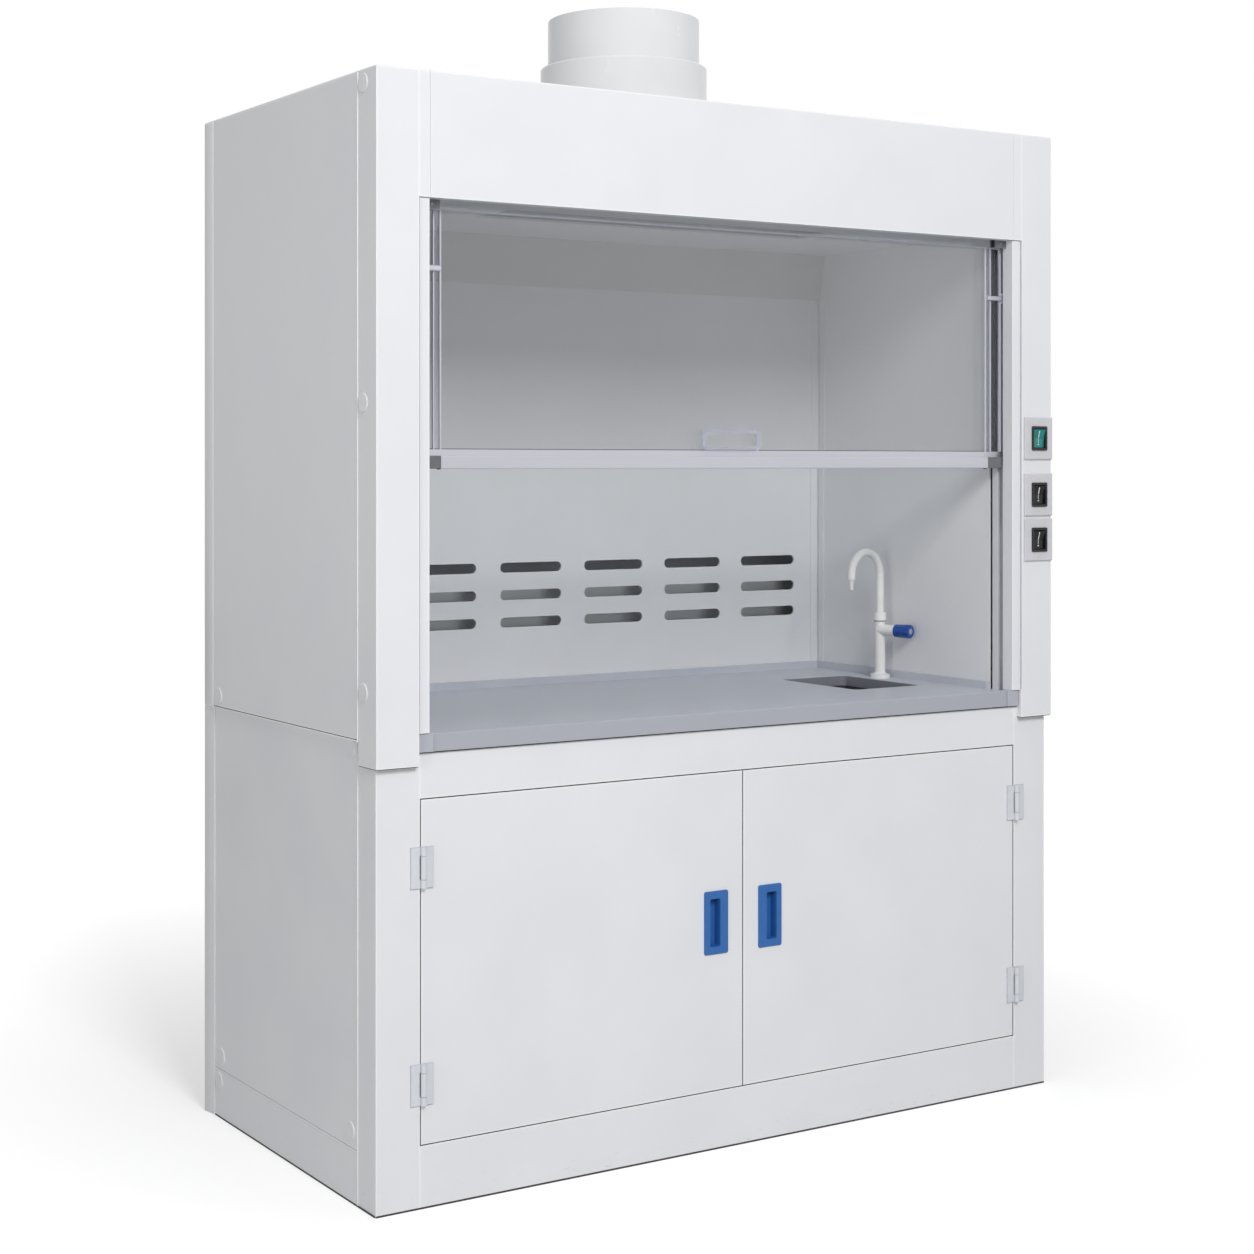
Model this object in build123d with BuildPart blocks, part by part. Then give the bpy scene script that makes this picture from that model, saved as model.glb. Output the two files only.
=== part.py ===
from build123d import *
import os
from math import cos, radians, sin

os.makedirs("parts", exist_ok=True)

# A bench fume hood with its base cabinet, in millimetres. X runs to the right, Y to the
# back and Z up. The origin is on the floor in the middle of the whole outline.

# Outline of the hood
hood_width = 1800
body_depth = 850
body_height = 2250
duct_rise = 260
worktop_height = 938

# Sheet and board thickness
steel = 1.5
board = 5
pane = 5
seam = 0.5

# Base cabinet
side_inset = 7
front_setback = 16
corner_depth = 91
corner_width = 98
rear_corner = 45
panel_fold = 20
panel_proud = 1
panel_reveal = 0.6
panel_edge = 1
base_fold = 30
plinth_height = 125
kick_height = 110
door_opening_top = 812
rail_top = 904
side_seam = 928

# Doors and their pulls
door_gap = 2.5
door_depth = 20
door_lip = 14
pull_width = 63
pull_height = 136
pull_proud = 3
pull_offset = 72.5
pull_middle = 488
recess_width = 27
recess_height = 103
recess_depth = 20
recess_shift = 3.5
cup_wall = 2
cup_clearance = 0.5
pull_corner = 5
pull_edge = 1
cup_corner = 3

# Hinges
hinge_height = 82
hinge_middles = (247, 676)
hinge_shift = 5
hinge_leaf_width = 24.5
hinge_leaf = 3.5
knuckle_radius = 6
knuckle_end = 17.5
knuckle_slit = 0.4
pin_radius = 2.5
pin_clearance = 0.05
hinge_slot = 1.2

# Worktop, sink and trap
worktop_slab = 25
lip_depth = 18
lip_front = 12
rim_height = 18
rim_width = 10
rear_rim_width = 15
bead_height = 1.5
bead_width = 12
worktop_side_gap = 2
worktop_post_gap = 2.5
end_block_width = 33
end_block_proud = 4
end_block_height = 4
sink_width = 205
sink_length = 290
sink_end_distance = 300.5
sink_middle_depth = 380
sink_depth = 175
sink_wall = 4
sink_flange = 18
sink_radius = 14
drain_radius = 24
strainer_radius = 34
strainer_height = 3
strainer_hole = 3
trap_radius = 42
trap_height = 120
trap_drop_height = 90
tail_radius = 20
outlet_radius = 20
outlet_clearance = 1
outlet_wall = 3
outlet_bore_length = 300
nut_height = 12
trap_edge = 9

# Tap
tap_end_distance = 160
tap_depth = 430
flange_radius = 25
flange_height = 9
body_radius = 13.3
body_top = 144
collar_radius = 15.6
collar_height = 21
arm_height = 120
arm_radius = 14
arm_length = 48
arm_angle = -75
knob_radius = 16
knob_end_radius = 17
knob_length = 43
knob_edge = 3
knob_grooves = 6
knob_groove_radius = 4
stem_radius = 4
stem_depth = 16
stem_clearance = 0.05
tube_radius = 9.75
socket_depth = 38
spout_angle = 194
spout_radius = 60
spout_rise = 256.6
spout_drop = 3
nozzle_length = 28
nozzle_ring = 4
nozzle_radius = 7.5
nozzle_tip_radius = 4.8
nozzle_bore = 2.5

# Upper cabinet
post_width = 95
post_depth = 78
post_bottom = 878
strip_width = 25
header_height = 250
header_depth = 25
jamb_setback = 4
jamb_return = 36
jamb_gap = 0.8
top_sheet = 2

# Chamber lining
chamber_inset = 115
liner_front = 86
baffle_inset = 119
baffle_top_inset = 345
ceiling_inset = 230
baffle_lean = 26
ceiling_gap = 1
slot_length = 173
slot_height = 24
slot_pitch_x = 240
slot_pitch_z = 66
slot_columns = 6
slot_rows = 3
slot_middle_x = 18
slot_middle_z = 1158
corner_leg = 22
corner_thick = 2
corner_groove = 3
lamp_length = 900
lamp_width = 150
lamp_depth = 330
lamp_overlap = 6
lamp_height = 65
tube_light_radius = 13
tube_light_drop = 20
holder_block = 30
holder_thick = 14

# Duct
duct_back_distance = 369
duct_radius = 177.5
duct_wall = 4
duct_foot = 20
collar_outer = 195
collar_wall = 4
collar_rise = 149
collar_lip = 8
collar_edge = 3
duct_fit = 0.5

# Sash tracks and the fixed pane
track_inset = 116
track_width = 16
track_wall = 2
track_front = 36
track_middle = 58
track_back = 75
track_top_inset = 130
track_clearance = 0.5
pane_front = 64
pane_lap = 14
pane_side_gap = 6
holder_width = 8
holder_depth = 5
holder_foot = 2

# Sash
sash_side_gap = 2
end_block_length = 47
sash_share = 0.4953
sash_rest_gap = 2
sash_head_room = 35
rail_height = 26
rail_front = 38
rail_depth = 20
channel_height = 13
channel_front = 46
channel_depth = 9
glass_front = 48
sash_top_inset = 265
top_channel_height = 3.5
top_floor = 1
channel_floor = 2
glass_end_gap = 4
stile_width = 4
slim_stile_width = 3
slim_stile_offset = 12
stile_front = 44.5
end_block_depth = 17
end_block_front = 40
handle_width = 156
handle_height = 46
handle_shift = -12
handle_bar = 10
handle_foot = 8
handle_depth = 10
handle_corner = 11
clamp_height = 24
clamp_drop = 120
clip_height = 12
clip_edge = 3
clamp_half_depth = 5
slot_clearance = 1
slot_overrun = 4

# Belt drive and counterweights
belt_width = 12
belt_thick = 2
belt_gap = 0.3
belt_offset = 12
belt_front = 46
belt_loop_width = 60
upper_axle_inset = 82
lower_axle_rise = 64
shaft_radius = 6
axle_radius = 5
axle_clearance = 0.05
pulley_clearance = 0.3
pulley_flange = 2.3
pulley_flange_thick = 1
bracket_gap = 3
bracket_thick = 3
bracket_width = 44
bracket_foot = 34
weight_width = 60
weight_depth = 52
weight_length = 296
weight_rest_gap = 40

# Switches on the right post
plate_width = 88
plate_height = 100
plate_thick = 6
plate_middles = (1534.5, 1401.5, 1295)
bezel_width = 48
bezel_height = 57
bezel_proud = 3
bezel_wall = 5.5
switch_body = 43
switch_body_height = 51
switch_body_depth = 22
switch_fit = 1
rocker_gap = 0.6
rocker_half = 21.5
rocker_tilt = 8
rocker_pocket = 13
rocker_end_height = 3
rocker_dip = 0.5
rocker_back = 2.5
rocker_pivot = 3

# Hole plugs on the sides: pairs of a distance from the front or back face and a height
plug_radius = 19.5
plug_thick = 2.2
plug_edge = 1.6
post_plug_depth = 56
post_plug_drop = 27
post_plug_rise = 85
rear_plug_inset = 79
kick_plug_inset = 67
upper_plug_rise = 14
lower_front_plugs = ((118, 906), (124, 144))
lower_rear_plugs = ((rear_plug_inset, 140), (kick_plug_inset, 83))

# Places worked out from the sizes above
switch_reach = plate_thick + bezel_proud
front = -(body_depth + switch_reach) / 2 + switch_reach
back = front + body_depth
half = hood_width / 2
base_half = half - side_inset
door_half = base_half - corner_width
base_front = front + front_setback
inner_half = base_half - panel_fold
opening_half = half - post_width - strip_width
post_inner = half - post_width
roof = body_height - top_sheet
duct_top = body_height + duct_rise
header_bottom = body_height - header_height
ceiling_height = body_height - ceiling_inset
baffle_top = body_height - baffle_top_inset
track_top = body_height - track_top_inset
sash_top = body_height - sash_top_inset
sash_rise = round(sash_share * (header_bottom - worktop_height))
sash_bottom = worktop_height + sash_rise
sash_travel_down = sash_rise - sash_rest_gap
sash_travel_up = sash_top_inset - sash_head_room
pane_bottom = sash_bottom + pane_lap
clamp_middle = sash_top - clamp_drop
upper_axle = body_height - upper_axle_inset
lower_axle = worktop_height + lower_axle_rise
weight_middle = lower_axle + sash_travel_up + weight_length / 2 + weight_rest_gap
post_plug_heights = (
    body_height - post_plug_drop,
    (body_height + worktop_height) / 2,
    worktop_height + post_plug_rise,
)
upper_plug_height = worktop_height + upper_plug_rise
chamber_half = half - chamber_inset
track_face = half - track_inset
track_web = track_face + track_width
sash_half = track_face - sash_side_gap
sash_rail_half = sash_half - end_block_length
belt_x = track_web + belt_offset
sink_middle_x = half - sink_end_distance
tap_x = half - tap_end_distance
baffle_depth = body_depth - baffle_inset
duct_depth = body_depth - duct_back_distance
slab_bottom = worktop_height - worktop_slab
rim_top = worktop_height + rim_height
block_top = worktop_height + end_block_height
baffle_front = front + baffle_depth
baffle_back = baffle_front + board


def at(depth):
    """Y of a place that lies this far behind the front of the upper posts."""
    return front + depth


def facing(depth):
    """Upright plane at this depth; its sketches are drawn in X and Z."""
    return Plane.XZ.offset(-at(depth))


def rectangle_between(left, right, low, high, mode=Mode.ADD):
    """Adds a rectangle to the current sketch by its four edges."""
    with Locations(((left + right) / 2, (low + high) / 2)):
        Rectangle(right - left, high - low, mode=mode)


def keep(piece, name):
    """Labels a finished piece and writes it."""
    piece.part.label = name
    export_step(piece.part, f"parts/{name}.step")


# Base cabinet: the corner posts are folded columns, open at the back
with BuildPart() as lower_posts:
    with BuildSketch(Plane.XY):
        rectangle_between(door_half, base_half, base_front, at(corner_depth))
        rectangle_between(
            door_half + steel, base_half - steel,
            base_front + steel, at(corner_depth), mode=Mode.SUBTRACT,
        )
        rectangle_between(
            door_half, door_half + steel,
            base_front + base_fold, at(corner_depth), mode=Mode.SUBTRACT,
        )
    extrude(amount=rail_top)
    mirror(about=Plane.YZ)
keep(lower_posts, "lower_posts")

# Side panels are trays folded inward, a little prouder than the posts; a lower kick panel
# closes the foot of each side
lower_panel_front = at(corner_depth) + panel_reveal
with BuildPart() as lower_side_panels:
    with BuildSketch(Plane.YZ.offset(inner_half)):
        rectangle_between(lower_panel_front, back - rear_corner, kick_height + seam, side_seam)
        rectangle_between(lower_panel_front, back - rear_corner, 0, kick_height)
    extrude(amount=panel_fold + panel_proud)
    fillet(lower_side_panels.faces().group_by(Axis.X)[-1].edges(), radius=panel_edge)
    with BuildSketch(Plane.YZ.offset(inner_half)):
        rectangle_between(
            lower_panel_front + steel, back - rear_corner - steel,
            kick_height + seam + steel, side_seam - steel,
        )
        rectangle_between(
            lower_panel_front + steel, back - rear_corner - steel,
            steel, kick_height - steel,
        )
    extrude(amount=panel_fold + panel_proud - steel, mode=Mode.SUBTRACT)
    mirror(about=Plane.YZ)
keep(lower_side_panels, "lower_side_panels")

with BuildPart() as rear_posts:
    with BuildSketch(Plane.XY):
        rectangle_between(base_half - rear_corner, base_half, back - rear_corner, back)
        rectangle_between(
            base_half - rear_corner, base_half - steel,
            back - rear_corner, back - steel, mode=Mode.SUBTRACT,
        )
    extrude(amount=slab_bottom)
    mirror(about=Plane.YZ)
keep(rear_posts, "rear_posts")

# The rail above the doors and the plinth below them are C-shaped folds
with BuildPart() as front_rail:
    with BuildSketch(Plane.YZ):
        rectangle_between(base_front, base_front + base_fold, door_opening_top, rail_top)
        rectangle_between(
            base_front + steel, base_front + base_fold,
            door_opening_top + steel, rail_top - steel, mode=Mode.SUBTRACT,
        )
    extrude(amount=door_half, both=True)
keep(front_rail, "front_rail")

with BuildPart() as plinth:
    with BuildSketch(Plane.YZ):
        rectangle_between(base_front, base_front + base_fold, 0, plinth_height)
        rectangle_between(
            base_front + steel, base_front + base_fold,
            steel, plinth_height - steel, mode=Mode.SUBTRACT,
        )
    extrude(amount=door_half, both=True)
keep(plinth, "plinth")

# The cabinet floor is a tray with its edges turned down, notched round the front posts
with BuildPart() as cabinet_floor:
    with BuildSketch(Plane.XY.offset(plinth_height - panel_fold)):
        rectangle_between(-inner_half, inner_half, at(corner_depth), back - rear_corner)
        rectangle_between(-door_half, door_half, base_front + base_fold, at(corner_depth))
    extrude(amount=panel_fold)
    with BuildSketch(Plane.XY.offset(plinth_height - panel_fold)):
        rectangle_between(
            steel - inner_half, inner_half - steel,
            at(corner_depth) + steel, back - rear_corner - steel,
        )
        rectangle_between(
            steel - door_half, door_half - steel,
            base_front + base_fold + steel, at(corner_depth) + steel,
        )
    extrude(amount=panel_fold - steel, mode=Mode.SUBTRACT)
keep(cabinet_floor, "cabinet_floor")

# Two back panels, the lower one pierced for the drain outlet
outlet_height = slab_bottom - sink_depth - sink_wall - trap_drop_height
with BuildPart() as back_panels:
    with BuildSketch(Plane.XZ.offset(-back)):
        rectangle_between(rear_corner - base_half, base_half - rear_corner, 0, slab_bottom)
        rectangle_between(panel_fold - half, half - panel_fold, slab_bottom + seam, roof)
        with Locations((sink_middle_x, outlet_height)):
            Circle(outlet_radius + outlet_clearance, mode=Mode.SUBTRACT)
    extrude(amount=steel)
keep(back_panels, "back_panels")

# Doors: folded trays with lips turned in at the back, and an opening for the pull.
# The recess of each pull stands a little away from the meeting line.
recess_middle = pull_offset + recess_shift
for side, side_name in ((-1, "left"), (1, "right")):
    edges_x = sorted((side * door_gap / 2, side * (door_half - door_gap)))
    door_low = plinth_height + door_gap
    door_high = door_opening_top - door_gap
    with BuildPart() as door:
        with BuildSketch(Plane.XZ.offset(-base_front)):
            rectangle_between(edges_x[0], edges_x[1], door_low, door_high)
        extrude(amount=-door_depth)
        fillet(door.edges().filter_by(Axis.Z).group_by(Axis.Y)[0], radius=steel)
        with BuildSketch(Plane.XZ.offset(-base_front - steel)):
            rectangle_between(
                edges_x[0] + steel, edges_x[1] - steel, door_low + steel, door_high - steel
            )
        extrude(amount=2 * steel - door_depth, mode=Mode.SUBTRACT)
        with BuildSketch(Plane.XZ.offset(-base_front - door_depth)):
            rectangle_between(
                edges_x[0] + door_lip, edges_x[1] - door_lip,
                door_low + door_lip, door_high - door_lip,
            )
        extrude(amount=2 * steel, mode=Mode.SUBTRACT)
        with BuildSketch(Plane.XZ.offset(-base_front)):
            with Locations((side * recess_middle, pull_middle)):
                Rectangle(
                    recess_width + 2 * (cup_wall + cup_clearance),
                    recess_height + 2 * (cup_wall + cup_clearance),
                )
        extrude(amount=-2 * steel, mode=Mode.SUBTRACT)
    keep(door, f"door_{side_name}")

    # Flush pull: a moulded bezel plate with a cup behind it
    with BuildPart() as pull:
        with BuildSketch(Plane.XZ.offset(-base_front)):
            with Locations((side * pull_offset, pull_middle)):
                RectangleRounded(pull_width, pull_height, pull_corner)
        extrude(amount=pull_proud)
        chamfer(pull.faces().sort_by(Axis.Y)[0].edges(), length=pull_edge)
        with BuildSketch(Plane.XZ.offset(-base_front)):
            with Locations((side * recess_middle, pull_middle)):
                RectangleRounded(
                    recess_width + 2 * cup_wall, recess_height + 2 * cup_wall, cup_corner + cup_wall
                )
        extrude(amount=-recess_depth)
        with BuildSketch(Plane.XZ.offset(-base_front + pull_proud)):
            with Locations((side * recess_middle, pull_middle)):
                RectangleRounded(recess_width, recess_height, cup_corner)
        extrude(amount=cup_wall - recess_depth - pull_proud, mode=Mode.SUBTRACT)
    keep(pull, f"pull_{side_name}")

# Hinges: the left leaf of each carries the end knuckles, the right leaf the two middle ones.
# On the left door the left leaf is on the post; on the right door it is on the door.
hinge_y = base_front - knuckle_radius - knuckle_slit
middle_knuckle = hinge_height / 2 - knuckle_end


def hinge_leaf_left(axis_x, middle_z):
    """Left leaf with its two end knuckles, notched beside the middle ones."""
    with Locations((axis_x, hinge_y, middle_z)):
        Cylinder(knuckle_radius, hinge_height)
    with BuildSketch(Plane.XZ.offset(-base_front)) as leaf:
        rectangle_between(
            axis_x - hinge_shift - hinge_leaf_width + 2 * hinge_slot, axis_x,
            middle_z - hinge_height / 2, middle_z + hinge_height / 2,
        )
    extrude(leaf.sketch, amount=hinge_leaf)
    with BuildSketch(Plane.XZ.offset(-base_front)) as notch:
        rectangle_between(
            axis_x - knuckle_radius - hinge_slot, axis_x + knuckle_radius,
            middle_z - middle_knuckle, middle_z + middle_knuckle,
        )
    extrude(notch.sketch, amount=2 * (knuckle_radius + knuckle_slit), mode=Mode.SUBTRACT)


def hinge_leaf_right(axis_x, middle_z):
    """Right leaf with its two middle knuckles, cut back at the ends."""
    tall = 2 * (middle_knuckle - knuckle_slit)
    with Locations((axis_x, hinge_y, middle_z)):
        Cylinder(knuckle_radius, tall)
    with BuildSketch(Plane.XZ.offset(-base_front)) as leaf:
        rectangle_between(
            axis_x + knuckle_radius + knuckle_slit, axis_x + hinge_leaf_width - hinge_slot,
            middle_z - hinge_height / 2, middle_z + hinge_height / 2,
        )
        rectangle_between(
            axis_x, axis_x + hinge_leaf_width / 2,
            middle_z - tall / 2, middle_z + tall / 2,
        )
    extrude(leaf.sketch, amount=hinge_leaf)


left_axis = hinge_shift - door_half
right_axis = hinge_shift + door_half

with BuildPart() as hinge_frame_leaves:
    for middle in hinge_middles:
        hinge_leaf_left(left_axis, middle)
        hinge_leaf_right(right_axis, middle)
    with Locations([(x, hinge_y, z) for x in (left_axis, right_axis) for z in hinge_middles]):
        Cylinder(pin_radius, hinge_height)
keep(hinge_frame_leaves, "hinge_frame_leaves")

with BuildPart() as hinge_door_left:
    for middle in hinge_middles:
        hinge_leaf_right(left_axis, middle)
    with Locations([(left_axis, hinge_y, z) for z in hinge_middles]):
        Cylinder(pin_radius + pin_clearance, hinge_height, mode=Mode.SUBTRACT)
keep(hinge_door_left, "hinge_door_left")

with BuildPart() as hinge_door_right:
    for middle in hinge_middles:
        hinge_leaf_left(right_axis, middle)
    with Locations([(right_axis, hinge_y, z) for z in hinge_middles]):
        Cylinder(pin_radius + pin_clearance, hinge_height, mode=Mode.SUBTRACT)
keep(hinge_door_right, "hinge_door_right")

# Worktop: a slab with a raised rim at the back and sides, a bead and an apron in front
narrow_half = post_inner - worktop_post_gap
wide_half = inner_half - worktop_side_gap
notch_y = at(post_depth) + worktop_post_gap
sink_y = at(sink_middle_depth)
block_inner = narrow_half - end_block_width
with BuildPart() as worktop:
    with BuildSketch(Plane.XY.offset(slab_bottom)):
        rectangle_between(-narrow_half, narrow_half, at(lip_front), notch_y)
        rectangle_between(-wide_half, wide_half, notch_y, back - steel - seam)
    extrude(amount=worktop_slab)
    with BuildSketch(Plane.XY.offset(rail_top)):
        rectangle_between(-narrow_half, narrow_half, at(lip_front), at(lip_front) + lip_depth)
    extrude(amount=slab_bottom - rail_top)
    with BuildSketch(Plane.XY.offset(worktop_height)):
        rectangle_between(-block_inner, block_inner, at(lip_front), at(lip_front) + bead_width)
    extrude(amount=bead_height)
    with BuildSketch(Plane.XY.offset(worktop_height)):
        rectangle_between(
            -chamber_half, chamber_half, at(liner_front), baffle_front + board
        )
        rectangle_between(
            rim_width - chamber_half, chamber_half - rim_width,
            at(liner_front), baffle_front + board - rear_rim_width, mode=Mode.SUBTRACT,
        )
    extrude(amount=rim_height)
    with BuildSketch(Plane.XY.offset(slab_bottom)):
        with Locations((sink_middle_x, sink_y)):
            RectangleRounded(sink_width, sink_length, sink_radius)
    extrude(amount=worktop_slab, mode=Mode.SUBTRACT)
    with BuildSketch(Plane.XY.offset(rail_top)):
        rectangle_between(block_inner, narrow_half, at(lip_front), at(lip_front) + lip_depth)
        rectangle_between(-narrow_half, -block_inner, at(lip_front), at(lip_front) + lip_depth)
    extrude(amount=worktop_height - rail_top, mode=Mode.SUBTRACT)
keep(worktop, "worktop")

# Moulded blocks finish the two ends of the worktop's front edge
with BuildPart() as worktop_end_blocks:
    with BuildSketch(Plane.XZ.offset(-at(lip_front) - lip_depth)):
        with BuildLine():
            Polyline(
                (block_inner, rail_top),
                (narrow_half, rail_top),
                (narrow_half, block_top),
                (block_inner + end_block_height, block_top),
                (block_inner, worktop_height),
                close=True,
            )
        make_face()
    extrude(amount=lip_depth + end_block_proud)
    mirror(about=Plane.YZ)
keep(worktop_end_blocks, "worktop_end_blocks")

# Sink bowl: an open moulded tank hung under the slab by its flange
bowl_floor = slab_bottom - sink_depth
with BuildPart() as sink_bowl:
    with BuildSketch(Plane.XY.offset(slab_bottom)):
        with Locations((sink_middle_x, sink_y)):
            RectangleRounded(
                sink_width + 2 * sink_flange, sink_length + 2 * sink_flange,
                sink_radius + sink_flange,
            )
    extrude(amount=-sink_wall)
    with BuildSketch(Plane.XY.offset(slab_bottom)):
        with Locations((sink_middle_x, sink_y)):
            RectangleRounded(
                sink_width + 2 * sink_wall, sink_length + 2 * sink_wall,
                sink_radius + sink_wall,
            )
    extrude(amount=-sink_depth - sink_wall)
    with BuildSketch(Plane.XY.offset(slab_bottom)):
        with Locations((sink_middle_x, sink_y)):
            RectangleRounded(sink_width, sink_length, sink_radius)
    extrude(amount=-sink_depth, mode=Mode.SUBTRACT)
    with Locations((sink_middle_x, sink_y, bowl_floor)):
        Cylinder(drain_radius, 3 * sink_wall, mode=Mode.SUBTRACT)
keep(sink_bowl, "sink_bowl")

# Waste and bottle trap, turned about the drain's axis, with an outlet to the back
trap_top = bowl_floor - sink_wall - trap_drop_height + trap_height / 3
trap_bottom = trap_top - trap_height
nut_bottom = bowl_floor - sink_wall - nut_height
with BuildPart() as sink_trap:
    with BuildSketch(Plane((sink_middle_x, sink_y, 0), x_dir=(1, 0, 0), z_dir=(0, -1, 0))):
        with BuildLine():
            Polyline(
                (0, bowl_floor - strainer_height),
                (drain_radius - strainer_hole, bowl_floor - strainer_height),
                (drain_radius, bowl_floor),
                (strainer_radius, bowl_floor),
                (strainer_radius - strainer_height, bowl_floor + strainer_height),
                (drain_radius - strainer_hole, bowl_floor + strainer_height),
                (drain_radius - 2 * strainer_hole, bowl_floor),
                (0, bowl_floor),
                close=True,
            )
        make_face()
        rectangle_between(
            0, drain_radius - pin_clearance, nut_bottom, bowl_floor - strainer_height
        )
        rectangle_between(
            0, strainer_radius, nut_bottom, bowl_floor - sink_wall
        )
        rectangle_between(0, tail_radius, trap_top, nut_bottom)
        rectangle_between(0, trap_radius, trap_bottom, trap_top)
    revolve(axis=Axis((sink_middle_x, sink_y, 0), (0, 0, 1)))
    fillet(sink_trap.edges().group_by(Axis.Z)[0], radius=trap_edge)
    with BuildSketch(Plane.XZ.offset(-sink_y)):
        with Locations((sink_middle_x, outlet_height)):
            Circle(outlet_radius)
    extrude(amount=sink_y - back)
    with BuildSketch(Plane.XZ.offset(-back)):
        with Locations((sink_middle_x, outlet_height)):
            Circle(outlet_radius - outlet_wall)
    extrude(amount=outlet_bore_length, mode=Mode.SUBTRACT)
keep(sink_trap, "sink_trap")

# Tap: a turned column on a flange, with a side arm for the valve knob
tap_y = at(tap_depth)
arm_direction = (cos(radians(arm_angle)), sin(radians(arm_angle)), 0)
arm_z = worktop_height + arm_height
collar_base = worktop_height + body_top
collar_top = collar_base + collar_height
socket_bottom = collar_top - socket_depth
arm_plane = Plane((tap_x, tap_y, arm_z), x_dir=(0, 0, 1), z_dir=arm_direction)
with BuildPart() as tap_body:
    with BuildSketch(Plane((tap_x, tap_y, worktop_height), x_dir=(1, 0, 0), z_dir=(0, -1, 0))):
        with BuildLine():
            Polyline(
                (0, 0),
                (flange_radius, 0),
                (flange_radius, flange_height),
                (body_radius + steel, flange_height + 2 * steel),
                (body_radius, flange_height + 4 * steel),
                (body_radius, body_top - 2 * steel),
                (collar_radius, body_top - 2 * steel),
                (collar_radius, body_top - steel),
                (body_radius, body_top - steel),
                (body_radius, body_top),
                (collar_radius, body_top),
                (collar_radius, body_top + collar_height),
                (0, body_top + collar_height),
                close=True,
            )
        make_face()
    revolve(axis=Axis((tap_x, tap_y, 0), (0, 0, 1)))
    with BuildSketch(arm_plane):
        Circle(arm_radius)
    extrude(amount=arm_length)
    with BuildSketch(arm_plane.offset(arm_length - steel)):
        Circle(knob_radius)
    extrude(amount=steel)
    with BuildSketch(Plane.XY.offset(socket_bottom)):
        with Locations((tap_x, tap_y)):
            Circle(tube_radius + stem_clearance)
    extrude(amount=socket_depth, mode=Mode.SUBTRACT)
    with BuildSketch(arm_plane.offset(arm_length - stem_depth)):
        Circle(stem_radius + stem_clearance)
    extrude(amount=stem_depth, mode=Mode.SUBTRACT)
keep(tap_body, "tap_body")

# The swan neck turns in the column's socket
spout_direction = (cos(radians(spout_angle)), sin(radians(spout_angle)), 0)
spout_normal = (sin(radians(spout_angle)), -cos(radians(spout_angle)), 0)
spout_plane = Plane((tap_x, tap_y, worktop_height), x_dir=spout_direction, z_dir=spout_normal)
with BuildPart() as tap_spout:
    with BuildLine(spout_plane):
        rise = Line((0, socket_bottom - worktop_height + stem_clearance), (0, spout_rise))
        bend = ThreePointArc(
            (0, spout_rise), (spout_radius, spout_rise + spout_radius), (2 * spout_radius, spout_rise)
        )
        Line((2 * spout_radius, spout_rise), (2 * spout_radius, spout_rise - spout_drop))
    with BuildSketch(Plane.XY.offset(socket_bottom + stem_clearance)):
        with Locations((tap_x, tap_y)):
            Circle(tube_radius)
    sweep()
keep(tap_spout, "tap_spout")

# Serrated hose nozzle on the end of the swan neck
nozzle_x = tap_x + 2 * spout_radius * spout_direction[0]
nozzle_y = tap_y + 2 * spout_radius * spout_direction[1]
nozzle_top = worktop_height + spout_rise - spout_drop
serration = (nozzle_length - nozzle_ring) / 4
taper = (nozzle_radius - nozzle_tip_radius) / 4
with BuildPart() as tap_nozzle:
    with BuildSketch(Plane((nozzle_x, nozzle_y, nozzle_top), x_dir=(1, 0, 0), z_dir=(0, -1, 0))):
        with BuildLine():
            Polyline(
                (0, 0),
                (tube_radius, 0),
                (tube_radius, -nozzle_ring),
                (nozzle_radius, -nozzle_ring),
                (nozzle_radius - 2 * taper, -nozzle_ring - serration),
                (nozzle_radius - taper, -nozzle_ring - serration),
                (nozzle_radius - 3 * taper, -nozzle_ring - 2 * serration),
                (nozzle_radius - 2 * taper, -nozzle_ring - 2 * serration),
                (nozzle_tip_radius, -nozzle_ring - 3 * serration),
                (nozzle_tip_radius, -nozzle_length),
                (nozzle_bore, -nozzle_length),
                (nozzle_bore, -nozzle_ring),
                (0, -nozzle_ring),
                close=True,
            )
        make_face()
    revolve(axis=Axis((nozzle_x, nozzle_y, 0), (0, 0, 1)))
keep(tap_nozzle, "tap_nozzle")

# Valve knob: flared, with grooves round its grip and a stem into the arm
knob_start = arm_length + belt_gap
with BuildPart() as tap_knob:
    with BuildSketch(arm_plane.offset(knob_start)):
        Circle(knob_radius)
    with BuildSketch(arm_plane.offset(knob_start + knob_length)):
        Circle(knob_end_radius)
    loft()
    fillet(tap_knob.faces().sort_by(Axis(arm_plane.origin, arm_direction))[-1].edges(), radius=knob_edge)
    with BuildSketch(arm_plane.offset(knob_start + knob_length / 5)):
        with PolarLocations(knob_end_radius + knob_groove_radius / 2, knob_grooves):
            Circle(knob_groove_radius)
    extrude(amount=knob_length, mode=Mode.SUBTRACT)
    with BuildSketch(arm_plane.offset(arm_length - stem_depth + stem_clearance)):
        Circle(stem_radius)
    extrude(amount=knob_start - arm_length + stem_depth)
keep(tap_knob, "tap_knob")

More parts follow.
